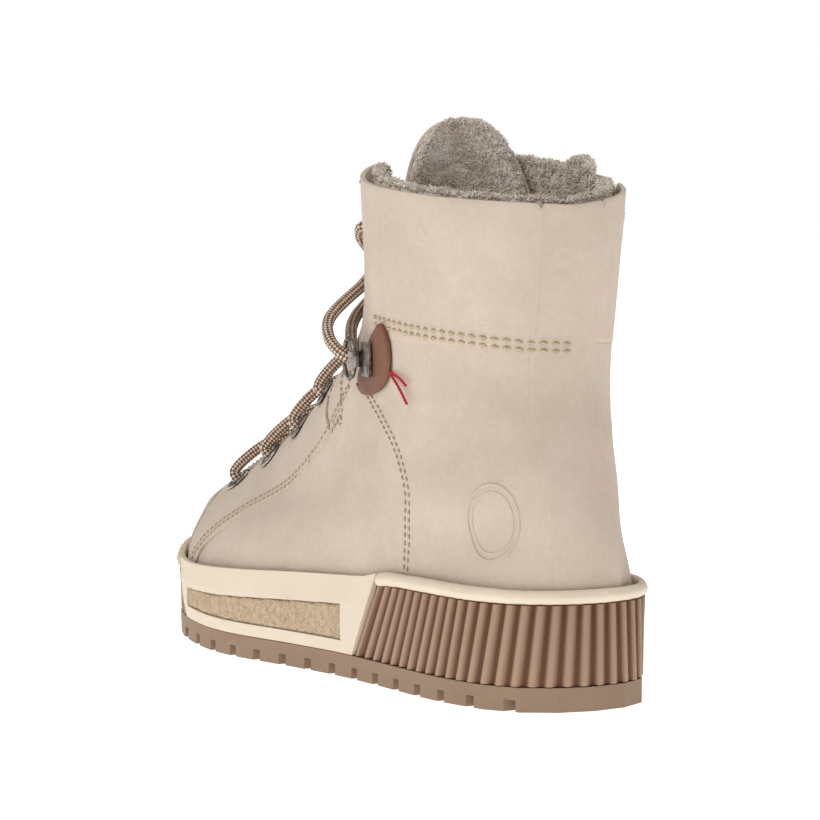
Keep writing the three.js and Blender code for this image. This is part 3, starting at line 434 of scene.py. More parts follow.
# ---------------------------------------------------------------- making pieces
def piece(
    name: str, mesh: bmesh.types.BMesh, look: Look, body: str = "boot", smooth: bool = True,
) -> bpy.types.Object:
    """Turns a bmesh into a piece that rides on a body.

    Args:
        name: the piece's name.
        mesh: its bmesh, which is freed.
        look: its finish.
        body: the CAD body that it rides on.
        smooth: whether its faces are shaded smooth.

    Returns:
        The object.
    """
    data = bpy.data.meshes.new(name)
    mesh.to_mesh(data)
    mesh.free()
    return dress(name, data, look, body, smooth)


def dress(name: str, data: bpy.types.Mesh, look: Look, body: str, smooth: bool = True) -> bpy.types.Object:
    """Makes an object of a mesh, paints it and lets it ride."""
    obj = bpy.data.objects.new(name, data)
    bpy.context.scene.collection.objects.link(obj)
    if smooth:
        data.shade_smooth()
    data.materials.clear()
    data.materials.append(look.material())
    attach(obj, body)
    look.slot
    LOG.info("%s: %d faces on %s", name, len(data.polygons), body)
    return obj


def body_of(node: str) -> str:
    """The CAD body of a node."""
    return NODES[node]["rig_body"]


def copy_of(node: str) -> bmesh.types.BMesh:
    """A merged copy of a CAD node's mesh."""
    mesh = bmesh.new()
    mesh.from_mesh(NODES[node].data)
    bmesh.ops.remove_doubles(mesh, verts=mesh.verts, dist=0.02 * MM)
    return mesh


def to_quads(mesh: bmesh.types.BMesh) -> None:
    """Joins pairs of triangles."""
    bmesh.ops.join_triangles(mesh, faces=mesh.faces, angle_face_threshold=0.7, angle_shape_threshold=1.2)


def settled(obj_mesh: bmesh.types.BMesh, *modifiers: tuple[str, dict]) -> bmesh.types.BMesh:
    """A bmesh with modifiers applied.

    Args:
        obj_mesh: the bmesh to work on, which is freed.
        modifiers: (type, settings) of each modifier, in order.

    Returns:
        The result as a new bmesh.
    """
    data = bpy.data.meshes.new("work")
    obj_mesh.to_mesh(data)
    obj_mesh.free()
    work = bpy.data.objects.new("work", data)
    bpy.context.scene.collection.objects.link(work)
    for kind, settings in modifiers:
        modifier = work.modifiers.new(kind, kind)
        for key, value in settings.items():
            setattr(modifier, key, value)
    graph = bpy.context.evaluated_depsgraph_get()
    result = bmesh.new()
    result.from_mesh(work.evaluated_get(graph).to_mesh())
    bpy.data.objects.remove(work)
    bpy.data.meshes.remove(data)
    return result


def smoother(levels: int) -> tuple[str, dict]:
    """Settings of a Subdivision Surface modifier."""
    return "SUBSURF", {"levels": levels, "render_levels": levels, "boundary_smooth": "PRESERVE_CORNERS"}


def bevel(width: float, angle: float, segments: int = 2) -> tuple[str, dict]:
    """Settings of a Bevel modifier on edges sharper than an angle, its width in millimetres."""
    return "BEVEL", {"width": width * MM, "segments": segments, "limit_method": "ANGLE", "angle_limit": angle}


def voxels(size: float) -> tuple[str, dict]:
    """Settings of a voxel Remesh modifier."""
    return "REMESH", {"mode": "VOXEL", "voxel_size": size * MM}


def push(mesh: bmesh.types.BMesh, amount: Callable[[Vector], float]) -> None:
    """Moves every vertex along its normal by an amount in metres."""
    mesh.normal_update()
    moves = [(vert, vert.normal * amount(vert.co)) for vert in mesh.verts]
    for vert, move in moves:
        vert.co += move


def away(point: Vector) -> Vector:
    """Direction out of the boot near a point."""
    if point.z > 0.105 or point.y > 0.060:
        return Vector((point.x, point.y - 0.060, 0)).normalized()
    return Vector((point.x, min(point.y + 0.095, 0), point.z - 0.036)).normalized()


def outer_skin(node: str, fill_holes: bool) -> bmesh.types.BMesh:
    """The outer face of a sheet-like CAD node, without its back and its edges.

    Args:
        node: the CAD node.
        fill_holes: whether small holes are filled.

    Returns:
        An open bmesh of quads and triangles.
    """
    mesh = copy_of(node)
    mesh.normal_update()
    best = max(mesh.faces, key=lambda f: f.calc_area() * (f.normal.dot(away(f.calc_center_median())) > 0.75))
    found = {best}
    queue = [best]
    while queue:
        face = queue.pop()
        for edge in face.edges:
            for other in edge.link_faces:
                if other not in found and other.normal.dot(face.normal) > 0.66:
                    if other.normal.dot(away(other.calc_center_median())) > 0.1:
                        found.add(other)
                        queue.append(other)
    bmesh.ops.delete(mesh, geom=[f for f in mesh.faces if f not in found], context="FACES")
    if fill_holes:
        rim = [edge for edge in mesh.edges if edge.is_boundary]
        bmesh.ops.holes_fill(mesh, edges=rim, sides=26)
        bmesh.ops.triangulate(mesh, faces=[f for f in mesh.faces if len(f.verts) > 4])
    to_quads(mesh)
    return mesh


def spread_rim(mesh: bmesh.types.BMesh, distance: float) -> None:
    """Moves an open sheet's rim outwards in its own surface."""
    mesh.normal_update()
    moves = []
    for vert in mesh.verts:
        if not vert.is_boundary:
            continue
        inward = Vector()
        for edge in vert.link_edges:
            if not edge.is_boundary:
                inward += (edge.other_vert(vert).co - vert.co).normalized()
        inward -= vert.normal * inward.dot(vert.normal)
        if inward.length > 1e-6:
            moves.append((vert, inward.normalized() * -distance))
    for vert, move in moves:
        vert.co += move


def tube(
    path: Sequence[Vector], radius: Callable[[float, float], float], sides: int, open_ends: bool = False,
) -> bmesh.types.BMesh:
    """A tube along points, with a UV map that runs around and along it.

    Args:
        path: the centre line's points.
        radius: gives the radius from the share around and the metres along.
        sides: the number of sides.
        open_ends: whether the ends are left open because they meet each other.

    Returns:
        The tube.
    """
    mesh = bmesh.new()
    layer = mesh.loops.layers.uv.new("UVMap")
    rings = []
    runs = []
    run = 0.0
    across = None
    for i, point in enumerate(path):
        ahead = (path[min(i + 1, len(path) - 1)] - path[max(i - 1, 0)]).normalized()
        if across is None:
            across = ahead.orthogonal().normalized()
        across = (across - ahead * across.dot(ahead)).normalized()
        other = ahead.cross(across)
        if i:
            run += (point - path[i - 1]).length
        ring = []
        for k in range(sides):
            angle = math.tau * k / sides
            reach = radius(k / sides, run)
            ring.append(mesh.verts.new(point + (across * math.cos(angle) + other * math.sin(angle)) * reach))
        rings.append(ring)
        runs.append(run)
    for i in range(len(rings) - 1):
        for k in range(sides):
            n = (k + 1) % sides
            face = mesh.faces.new((rings[i][k], rings[i][n], rings[i + 1][n], rings[i + 1][k]))
            spots = ((k, i), (k + 1, i), (k + 1, i + 1), (k, i + 1))
            for loop, (u, v) in zip(face.loops, spots):
                loop[layer].uv = (u / sides, runs[v])
    if not open_ends:
        mesh.faces.new(reversed(rings[0]))
        mesh.faces.new(rings[-1])
    bmesh.ops.recalc_face_normals(mesh, faces=mesh.faces)
    return mesh


def curve_through(points: Sequence[Vector], step: float) -> list[Vector]:
    """Points about a step apart on a centripetal curve through the given ones."""
    result = []
    ends = [points[0] * 2 - points[1], *points, points[-1] * 2 - points[-2]]
    for i in range(1, len(ends) - 2):
        a, b, c, d = ends[i - 1:i + 3]
        t1 = max((b - a).length ** 0.5, 1e-6)
        t2 = t1 + max((c - b).length ** 0.5, 1e-6)
        t3 = t2 + max((d - c).length ** 0.5, 1e-6)
        count = max(1, round((c - b).length / step))
        for k in range(count):
            t = t1 + (t2 - t1) * k / count
            ab = a * ((t1 - t) / t1) + b * (t / t1)
            bc = b * ((t2 - t) / (t2 - t1)) + c * ((t - t1) / (t2 - t1))
            cd = c * ((t3 - t) / (t3 - t2)) + d * ((t - t2) / (t3 - t2))
            abc = ab * ((t2 - t) / t2) + bc * (t / t2)
            bcd = bc * ((t3 - t) / (t3 - t1)) + cd * ((t - t1) / (t3 - t1))
            result.append(abc * ((t2 - t) / (t2 - t1)) + bcd * ((t - t1) / (t2 - t1)))
    result.append(points[-1].copy())
    return result


def resampled(points: Sequence[Vector], pitch: float) -> list[tuple[Vector, Vector]]:
    """(point, direction) at every pitch along a line of points."""
    result = []
    wait = pitch / 2
    for a, b in zip(points, points[1:]):
        span = (b - a).length
        while wait < span:
            result.append((a.lerp(b, wait / span), (b - a).normalized()))
            wait += pitch
        wait -= span
    return result


# ---------------------------------------------------------------- upper
@dataclass
class Upper:
    """The leather panels, and the surface that stitches are laid on."""

    leather: float = 1.7
    spread: float = 0.55
    wrinkle: float = 0.28
    zip_spread: float = -0.3    # the inner quarters' edges are drawn back, so that the slider passes
    lifts: dict = field(default_factory=lambda: {
        "facing_outer": 0.45, "facing_inner": 0.45, "quarter_heel_outer": 0.3, "quarter_heel_inner": 0.3,
        "collar_outer": 0.5, "collar_inner_front": 0.5, "collar_inner_rear": 0.5, "back_strip": 0.55})
    holed: tuple = ("facing_outer", "facing_inner", "collar_outer", "collar_inner_front")
    panels: tuple = ("vamp", "facing_outer", "facing_inner", "quarter_heel_outer", "quarter_heel_inner",
                     "quarter_middle_outer", "quarter_middle_inner", "collar_outer", "collar_inner_front",
                     "collar_inner_rear", "back_strip")
    tree: Optional[BVHTree] = None
    rims: dict = field(default_factory=dict)

    def crease(self, point: Vector) -> float:
        """Height of the soft wrinkles of worn leather at a point."""
        soft = wobble(point, 42, 3.1) * 0.8 + wobble(point, 110, 7.7) * 0.45
        folds = 1 - abs(wobble(Vector((point.x, point.y, point.z * 2.2)), 55, 1.3)) * 2
        bend = clamp(1 - abs(point.z - 0.092) / 0.035) * clamp(1 - abs(point.y - 0.05) / 0.075)
        return (soft * self.wrinkle + max(folds, 0) * bend * 0.35) * MM

    def rim_loop(self, mesh: bmesh.types.BMesh) -> list[tuple[Vector, Vector]]:
        """(place, inward direction) of each vertex along the longest rim, in order."""
        start = next(vert for vert in mesh.verts if vert.is_boundary)
        loop = [start]
        seen = {start}
        while True:
            here = loop[-1]
            step = [e.other_vert(here) for e in here.link_edges if e.is_boundary]
            step = [vert for vert in step if vert not in seen]
            if not step:
                break
            loop.append(step[0])
            seen.add(step[0])
        result = []
        for vert in loop:
            inward = sum(((e.other_vert(vert).co - vert.co).normalized()
                          for e in vert.link_edges if not e.is_boundary), Vector())
            result.append((vert.co.copy(), inward.normalized() if inward.length > 0 else Vector((0, 0, -1))))
        return result

    def build(self) -> None:
        """Builds each panel from its CAD node's outer face."""
        places = []
        faces = []
        for node in self.panels:
            mesh = settled(outer_skin(node, node in self.holed), smoother(3))
            at_zip = node.startswith("quarter") and node.endswith("inner")
            spread_rim(mesh, (self.zip_spread if at_zip else self.spread + self.lifts.get(node, 0) * 1.3) * MM)
            lift = 0.0 if at_zip else self.lifts.get(node, 0.0) * MM
            push(mesh, lambda p, lift=lift: lift + self.crease(p))
            self.rims[node] = self.rim_loop(mesh)
            base = len(places)
            mesh.verts.ensure_lookup_table()
            mesh.verts.index_update()
            places += [vert.co.copy() for vert in mesh.verts]
            faces += [[base + vert.index for vert in face.verts] for face in mesh.faces]
            mesh = settled(mesh, ("SOLIDIFY", {"thickness": self.leather * MM, "offset": -1.0}),
                           bevel(0.35, 0.9))
            made = piece(node + "_leather", mesh, Look.NUBUCK, body_of(node))
            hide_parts(node)
        self.tree = BVHTree.FromPolygons(places, faces)

    def on_side(self, side: int, y: float, z: float) -> tuple[Vector, Vector]:
        """The place and normal on one side of the boot at a Y and Z in millimetres."""
        start = Vector((side * 0.2, y * MM, z * MM))
        place, normal, _, _ = self.tree.ray_cast(start, Vector((-side, 0, 0)))
        return (start, Vector((side, 0, 0))) if place is None else self.facing_out(place, normal)

    def nearest(self, point: Vector) -> tuple[Vector, Vector]:
        """The nearest place on the leather and its normal."""
        place, normal, _, _ = self.tree.find_nearest(point)
        return self.facing_out(place, normal)

    @staticmethod
    def facing_out(place: Vector, normal: Vector) -> tuple[Vector, Vector]:
        """Turns a normal so that it points out of the boot."""
        return place, normal if normal.dot(away(place)) > 0 else -normal


# ---------------------------------------------------------------- stitching
@dataclass
class Stitching:
    """Rows of stitches sunk into the leather."""

    upper: Upper
    meshes: dict = field(default_factory=dict)
    around_heel: tuple = ((33.4, 45, 128.6), (34, 62, 127.4), (34.3, 80.9, 126.0), (29.4, 99.9, 124.6),
                          (21, 112.1, 123.2), (9.7, 119.1, 122.2), (-2.0, 120.4, 121.6))
    toe_to_ankle: tuple = ((-84, 30), (-65, 44), (-50, 52), (-21, 64), (-3, 76), (12, 91), (19, 99), (26, 103))
    heel_curve: tuple = ((66, 36), (68, 48), (70.5, 59), (71, 68), (62, 81), (49, 91), (36, 99))
    coarse: tuple = (4.2, 0.62)
    fine: tuple = (2.9, 0.4)
    rim_inset: float = 2.2
    rim_radius: float = 0.34

    def stitch(self, look: Look, place: Vector, normal: Vector, ahead: Vector, length: float, radius: float) -> None:
        """Lays one stitch: a short twisted spindle, half sunk."""
        mesh = self.meshes.setdefault(look, bmesh.new())
        ahead = (ahead - normal * ahead.dot(normal)).normalized()
        frame_of = Matrix((ahead, ahead.cross(normal).normalized(), normal)).transposed().to_4x4()
        frame_of.translation = place
        rings = []
        steps, sides = 4, 6
        for i in range(steps + 1):
            share = i / steps * 2 - 1
            thick = radius * (1 - abs(share) ** 3 * 0.75)
            rise = radius * (0.55 - 0.75 * share * share)
            ring = []
            for k in range(sides):
                angle = math.tau * k / sides + share * 1.1
                reach = thick * (1 + 0.16 * math.cos(2 * angle + share * 3.0))
                ring.append(mesh.verts.new(frame_of @ Vector((
                    share * length / 2, math.cos(angle) * reach, math.sin(angle) * reach + rise))))
            rings.append(ring)
        for a, b in zip(rings, rings[1:]):
            for k in range(sides):
                n = (k + 1) % sides
                mesh.faces.new((a[k], b[k], b[n], a[n]))
        mesh.faces.new(rings[0])
        mesh.faces.new(reversed(rings[-1]))

    def row(self, look: Look, points: Sequence[Vector], pitch: float, radius: float, shift: float = 0.0,
            fill: float = 0.74) -> None:
        """Lays a row along points near the leather.

        Args:
            look: the thread.
            points: the row's course, in metres.
            pitch: millimetres from stitch to stitch.
            radius: the thread's radius in millimetres.
            shift: millimetres that the row is moved to its left, seen from outside.
            fill: the share of the pitch that a stitch takes.
        """
        course = []
        flat = curve_through(points, 2 * MM)
        for i, point in enumerate(flat):
            ahead = (flat[min(i + 2, len(flat) - 1)] - flat[max(i - 2, 0)]).normalized()
            spot, normal = self.upper.nearest(point)
            course.append(spot + normal.cross(ahead) * shift * MM)
        for place, ahead in resampled(course, pitch * MM):
            spot, normal = self.upper.nearest(place)
            self.stitch(look, spot, normal, ahead, pitch * fill * MM, radius * MM)

    def side_points(self, side: int, points: Sequence[tuple[float, float]]) -> list[Vector]:
        """Places on one side of the boot from (Y, Z) in millimetres."""
        return [self.upper.on_side(side, y, z)[0] for y, z in points]

    def rim_row(self, look: Look, node: str, inset: float, pitch: float, radius: float,
                wanted: Callable[[Vector], bool]) -> None:
        """Lays a row inside a panel's rim wherever wanted says so."""
        run: list[Vector] = []
        loop = self.upper.rims[node]
        for place, inward in loop + loop[:1]:
            if wanted(place):
                run.append(self.upper.nearest(place + inward * inset * MM)[0])
                continue
            self._run(look, run, pitch, radius)
            run = []
        self._run(look, run, pitch, radius)

    @staticmethod
    def on_collar(point: Vector) -> bool:
        """Whether a place on the collar's rim lies on its front edge."""
        return point.y < 0.030 and point.z > 0.130

    @staticmethod
    def on_facing(point: Vector) -> bool:
        """Whether a place on a facing's rim lies beside the tongue."""
        return abs(point.x) < 0.016 and point.z > 0.060

    def _run(self, look: Look, run: list[Vector], pitch: float, radius: float) -> None:
        """Lays stitches along one unbroken run."""
        if len(run) < 3:
            return
        for place, ahead in resampled(run, pitch * MM):
            spot, normal = self.upper.nearest(place)
            self.stitch(look, spot, normal, ahead, pitch * 0.72 * MM, radius * MM)

    def build(self) -> None:
        """Lays every row and makes one piece for each thread."""
        for side in (1, -1):
            course = self.around_heel if side > 0 else self.around_heel[:2]
            rows = [Vector((side * x, y, z)) * MM for x, y, z in course]
            for shift in (0.6, 3.2):
                self.row(Look.THREAD, rows, *self.coarse, shift * -side)
            for shift in (1.4, 3.9):
                self.row(Look.FINE_THREAD, self.side_points(side, self.toe_to_ankle), *self.fine, shift * side)
        for shift in (-1.6, -4.0):
            self.row(Look.FINE_THREAD, self.side_points(1, self.heel_curve), *self.fine, shift)
        shown = {"collar_outer": self.on_collar, "collar_inner_front": self.on_collar,
                 "facing_outer": self.on_facing, "facing_inner": self.on_facing}
        for node, wanted in shown.items():
            self.rim_row(Look.FINE_THREAD, node, self.rim_inset, self.fine[0], self.rim_radius, wanted)
        for look, mesh in self.meshes.items():
            bmesh.ops.recalc_face_normals(mesh, faces=mesh.faces)
            piece(look.value.name + "_rows", mesh, look)


@dataclass
class HeelEmblem:
    """A plain raised oval on the outer heel, with nothing inside it."""

    upper: Upper
    centre: tuple = (115.0, 61.7)
    half: tuple = (10.5, 13.0)
    ridge: float = 0.55

    def build(self) -> None:
        """Builds two plain oval ridges that follow the leather."""
        for name, share, radius in (("outer", 1.0, self.ridge), ("inner", 0.8, self.ridge * 0.6)):
            line = []
            middle, out = self.upper.on_side(1, *self.centre)
            level = Vector((0, 0, 1)).cross(out).normalized()
            rise = out.cross(level).normalized()
            for k in range(73):
                angle = math.tau * k / 72
                target = middle + (level * math.cos(angle) * self.half[0] + rise * math.sin(angle) * self.half[1]) * (
                    share * MM)
                line.append(self.upper.nearest(target)[0])
            mesh = tube(line, lambda around, run, radius=radius: radius * MM, 8, True)
            bmesh.ops.remove_doubles(mesh, verts=mesh.verts, dist=0.08 * MM)
            piece(f"heel_oval_{name}", mesh, Look.NUBUCK)


# ---------------------------------------------------------------- fleece
@dataclass
class FleeceLining:
    """The lining: lumpy sheets with locks where they show."""

    voxel: float = 1.35
    lump: float = 0.75
    lock_length: tuple = (0.8, 1.7)
    tongue_lock_length: tuple = (0.5, 1.1)
    lock_radius: tuple = (0.26, 0.46)
    locks: dict = field(default_factory=lambda: {
        "lining_outer": (8600, 0.150), "lining_inner_rear": (4200, 0.145), "lining_inner_front": (4200, 0.145),
        "zip_guard": (3200, 0.150), "tongue": (8600, 0.140), "lining_vamp": (0, 1.0), "footbed": (0, 1.0)})

    def shape(self, node: str) -> bmesh.types.BMesh:
        """A lumpy copy of a CAD node."""
        mesh = settled(copy_of(node), voxels(self.voxel))
        for _ in range(3):
            bmesh.ops.smooth_vert(mesh, verts=mesh.verts, factor=0.5, use_axis_x=True, use_axis_y=True,
                                  use_axis_z=True)
        push(mesh, lambda p: (wobble(p, 330, 2.0) * 0.7 + wobble(p, 640, 5.0) * 0.3) * self.lump * MM)
        return mesh

    def tufts(
        self, node: str, mesh: bmesh.types.BMesh, count: int, low: float, rng: random.Random,
    ) -> bmesh.types.BMesh:
        """Curled locks on the part of a piece above a height, on its top and its inner face.

        Args:
            node: the CAD node, for its name.
            mesh: the lumpy piece.
            count: the number of locks.
            low: the lowest Z in metres.
            rng: the random source.

        Returns:
            A bmesh of locks.
        """
        shown = [f for f in mesh.faces if f.calc_center_median().z > low
                 and f.normal.dot(away(f.calc_center_median())) < (-0.1 if node == "tongue" else 0.75)]
        tops = [f for f in shown if f.normal.z > 0.35]
        lengths = self.tongue_lock_length if node == "tongue" else self.lock_length
        result = bmesh.new()
        for k in range(count):
            face = rng.choice(tops if tops and k % 5 < 2 else shown)
            root = face.calc_center_median() + Vector([rng.uniform(-1, 1) for _ in range(3)]) * 0.6 * MM
            aim = (face.normal + Vector([rng.uniform(-1, 1) for _ in range(3)]) * 0.75).normalized()
            curl = Vector([rng.uniform(-1, 1) for _ in range(3)]).cross(aim)
            curl = curl.normalized() if curl.length > 0.01 else aim.orthogonal()
            length = rng.uniform(*lengths) * MM
            thick = rng.uniform(*self.lock_radius) * MM
            side = aim.orthogonal().normalized()
            other = aim.cross(side)
            rings = []
            for i in range(3):
                share = i / 2
                centre = root + aim * length * math.sin(share * 1.3) + curl * length * 0.55 * share * share
                reach = thick * (1 - 0.62 * share)
                rings.append([result.verts.new(centre + (side * math.cos(math.tau * n / 4)
                                                         + other * math.sin(math.tau * n / 4)) * reach)
                              for n in range(4)])
            for a, b in zip(rings, rings[1:]):
                for n in range(4):
                    result.faces.new((a[n], a[(n + 1) % 4], b[(n + 1) % 4], b[n]))
            result.faces.new(reversed(rings[0]))
            result.faces.new(rings[-1])
        return result

    def build(self) -> None:
        """Builds every fleece piece."""
        for index, (node, (count, low)) in enumerate(self.locks.items()):
            mesh = self.shape(node)
            if count:
                locks = self.tufts(node, mesh, count, low, random.Random(11 + index))
                piece(node + "_locks", locks, Look.FLEECE, body_of(node))
            made = piece(node + "_fleece", mesh, Look.FLEECE, body_of(node))
            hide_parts(node)


@dataclass
class Tongue:
    """Leather face of the tongue, with a stitched edge."""

    stitching: Stitching
    lift: float = 0.9

    def build(self) -> None:
        """Builds the leather face on the fleece tongue."""
        mesh = settled(outer_skin("tongue", False), smoother(3))
        push(mesh, lambda p: (self.lift + wobble(p, 60, 4.0) * 0.3) * MM)
        upper = self.stitching.upper
        rim = upper.rim_loop(mesh)
        mesh.verts.ensure_lookup_table()
        tree = BVHTree.FromBMesh(mesh)
        mesh = settled(mesh, ("SOLIDIFY", {"thickness": 1.2 * MM, "offset": -1.0}),
                       bevel(0.3, 0.9))
        piece("tongue_leather", mesh, Look.NUBUCK, "tongue")
        threads = Stitching(upper)
        line = [tree.find_nearest(p + inward * 2.6 * MM)[0] for p, inward in rim if p.z > 0.120]
        for place, ahead in resampled(line, 3.4 * MM):
            if ahead.length > 0:
                spot, normal, _, _ = tree.find_nearest(place)
                threads.stitch(Look.EDGE_THREAD, spot, normal, ahead, 2.7 * MM, 0.42 * MM)
        for look, rows in threads.meshes.items():
            bmesh.ops.recalc_face_normals(rows, faces=rows.faces)
            piece("tongue_edge_rows", rows, look, "tongue")


# ---------------------------------------------------------------- sole
@dataclass
class Sole:
    """The cup sole: walls, ribs, rims, strips and tread.

    The ribs' measures are in millimetres. A place on a ribbed wall lies in the grooves, and gets painted shade, where
    the wall near it, at its own level, stands prouder by more than groove_start.
    """

    soft_edge: float = 0.5
    rib_soft: float = 0.45
    wall_reach: float = 9.0
    rib_reach: float = 3.6
    level: float = 0.6
    groove_start: float = 0.5
    groove_blend: float = 0.35
    plain: dict = field(default_factory=lambda: {
        "midsole_core": Look.CREAM, "insole_board": Look.BOARD, "shank": Look.STEEL,
        "heel_counter": Look.BOARD, "toe_puff": Look.BOARD})

    def softened(self, node: str, look: Look, width: float, segments: int = 2) -> None:
        """A copy of a node with rounded edges."""
        mesh = copy_of(node)
        bmesh.ops.dissolve_limit(mesh, angle_limit=0.03, verts=mesh.verts, edges=mesh.edges)
        mesh = settled(mesh, bevel(width, 0.5, segments))
        made = piece(node + "_moulded", mesh, look, "boot", False)
        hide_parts(node)

    def ribbed(self, node: str) -> None:
        """Rounded ribs: the ribbed wall with bevelled edges."""
        mesh = copy_of(node)
        to_quads(mesh)
        mesh = settled(mesh, bevel(self.rib_soft, 0.5))
        push(mesh, lambda p: wobble(p, 240, 1.0) * 0.09 * MM)
        mesh.verts.ensure_lookup_table()
        mesh.normal_update()
        near = KDTree(len(mesh.verts))
        for vert in mesh.verts:
            near.insert(vert.co, vert.index)
        near.balance()
        # Per-vertex mask of painted shade: near 1 in the grooves between ribs, where the wall nearby stands prouder.
        layer = mesh.verts.layers.float.new("groove")
        for vert in mesh.verts:
            around = near.find_range(vert.co, self.wall_reach * MM)
            out = sum((mesh.verts[index].normal for _, index, _ in around), Vector())
            out = Vector((out.x, out.y, 0)).normalized()
            prouder = [(place - vert.co).dot(out) for place, _, away_by in around
                       if abs(place.z - vert.co.z) < self.level * MM and away_by < self.rib_reach * MM]
            vert[layer] = clamp((max(prouder) / MM - self.groove_start) / self.groove_blend)
        made = piece(node + "_moulded", mesh, Look.RIBS)
        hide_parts(node)

    def rim(self, node: str, look: Look, lump: float) -> None:
        """A rounded rim, lumpy where it is worn."""
        mesh = settled(copy_of(node), voxels(0.7))
        for _ in range(5):
            bmesh.ops.smooth_vert(mesh, verts=mesh.verts, factor=0.5, use_axis_x=True, use_axis_y=True,
                                  use_axis_z=True)
        push(mesh, lambda p: (0.2 + (wobble(p, 420, 3.0) * 0.6 + wobble(p, 900, 8.0) * 0.4) * lump) * MM)
        made = piece(node + "_moulded", mesh, look)
        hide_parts(node)

    def strip(self, node: str) -> None:
        """A suede strip with a raised nap."""
        mesh = settled(copy_of(node), voxels(0.8))
        push(mesh, lambda p: (0.1 + wobble(p, 700, 6.0) * 0.13) * MM)
        made = piece(node + "_suede", mesh, Look.STRIP)
        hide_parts(node)

    def build(self) -> None:
        """Builds the whole sole."""
        for node, look in self.plain.items():
            NODES[node].data.materials.clear()
            NODES[node].data.materials.append(look.material())
        self.softened("outsole", Look.TREAD, self.soft_edge)
        self.softened("side_wall_outer", Look.CREAM, 0.5)
        self.softened("side_wall_inner", Look.CREAM, 0.5)
        self.ribbed("heel_rib_wrap")
        self.ribbed("toe_rib_bumper")
        self.rim("heel_rim", Look.CREAM, 0.12)
        self.rim("toe_rim", Look.CRUST, 0.4)
        self.strip("cork_strip_outer")
        self.strip("cork_strip_inner")


# ---------------------------------------------------------------- lace
ROUTE_OUTER: tuple[Point, ...] = (
    (0.5, -81.8, 67.2), (3.2, -81.8, 66.9), (7.8, -82.0, 65.4), (15.8, -82.7, 59.8), (21.0, -83.4, 57.8),
    (24.4, -84.4, 61.4), (24.9, -85, 63.5), (14.3, -79.5, 74.2), (0.1, -73.2, 78.9), (-3.0, -71.1, 78.3),
    (-6, -66.5, 74.2), (-9.9, -62.2, 73.8), (-12.2, -59.3, 72.5), (-17.2, -60.2, 69.3),
    (-21.3, -61.5, 72.1), (-22.2, -62.2, 73.6), (-14.5, -56.7, 84.6), (-10.3, -54.5, 87.3),
    (-2.6, -49.2, 84.8), (0.1, -47.4, 85.1), (6.1, -43.2, 86.3), (10.0, -38.9, 86.3),
    (12.6, -36.0, 85.0), (17.5, -37.0, 81.9), (21.6, -38.6, 84.5), (22.5, -39.5, 86.1),
    (14.4, -34.4, 97.5), (0.1, -28.4, 103.1), (-3.0, -26.2, 102.8), (-6.3, -21.4, 99.3),
    (-10.3, -17.4, 99.7), (-13.4, -14.6, 98.4), (-18.1, -15.9, 95.5), (-22.1, -17.7, 98),
    (-23.0, -18.8, 99.4), (-14.1, -14.0, 111.4), (-10.1, -11.8, 113.8), (-2.7, -6.1, 111.6),
    (0.1, -4.4, 112.1), (6.3, -0.6, 114.0), (10.3, 3.3, 115.0), (10.0, 11.9, 124.7), (11.4, 18.3, 148.1),
    (11.9, 17.6, 154.8), (13.6, 14.9, 157.9), (15.9, 11.4, 158.0), (18.2, 7.7, 158.2),
    (16.6, 3.9, 154.4), (0.1, 0.2, 141), (-14.7, 6.5, 132.0), (-25.9, 13.4, 123.6), (-32.0, 24.9, 114.5),
    (-34.5, 30.5, 112.4), (-37.6, 33.2, 113.1), (-40.7, 31.3, 115.5), (-42.1, 26.6, 119.6),
    (-38.7, 20.0, 126.1), (-21.4, 12.9, 137.3), (-14.0, 7.9, 140.7), (-6.4, 8.6, 141.2),
    (-5.2, 13.6, 138), (-4.8, 13.9, 133),
)
ROUTE_INNER: tuple[Point, ...] = (
    (-0.5, -81.8, 67.2), (-3.1, -81.8, 66.9), (-7.6, -82.1, 65.3), (-14.4, -82.7, 60.0),
    (-19.7, -83.4, 57.8), (-23.2, -84.4, 61.4), (-23.7, -84.9, 63.5), (-14.5, -79.5, 73.7),
    (-10.4, -77.3, 76.1), (-2.6, -72.4, 73.3), (0.1, -70.7, 73.4), (6.1, -66.5, 74.2),
    (10.0, -62.2, 73.9), (13.3, -59.3, 71.9), (18.3, -60.2, 69.2), (22.2, -61.5, 72.2),
    (23.1, -62.2, 73.9), (14.4, -56.7, 84.8), (0.1, -50.3, 90.4), (-3.0, -48.1, 90.0),
    (-6.1, -43.2, 86.3), (-10.0, -38.9, 86.4), (-12.6, -35.9, 85.2), (-17.4, -37.0, 82.0),
    (-21.6, -38.6, 84.5), (-22.5, -39.5, 85.9), (-14.3, -34.4, 97.7), (-10.2, -32.3, 100.2),
    (-2.7, -26.9, 97.7), (0.1, -25.2, 98), (6.2, -21.4, 99.2), (10.2, -17.4, 99.5), (12.8, -14.7, 98.4),
    (17.6, -15.9, 95.4), (21.6, -17.7, 98.0), (22.4, -18.7, 99.5), (14.3, -13.9, 111),
    (0.1, -8.0, 116.9), (-3.0, -5.8, 116.8), (-6.4, -0.6, 114.0), (-10.5, 3.4, 115.2),
    (-10.1, 11.7, 124.7), (-11.5, 18.2, 148.1), (-11.9, 17.5, 154.9), (-13.6, 14.8, 157.9),
    (-15.8, 11.3, 158.0), (-18.2, 7.5, 158.2), (-16.6, 3.7, 154.4), (-0.1, 5, 141), (14.8, 6.7, 132.0),
    (26.0, 14.7, 123.5), (30.9, 24.9, 114.5), (33.2, 30.5, 112.4), (36.3, 33.2, 112.9),
    (39.5, 31.3, 115.2), (41.0, 26.7, 119.3), (37.9, 20.0, 125.9), (21.5, 13.4, 137.3),
    (14.1, 8.0, 140.7), (6.4, 8.6, 141.2), (5.2, 13.6, 138), (4.8, 13.9, 133),
)


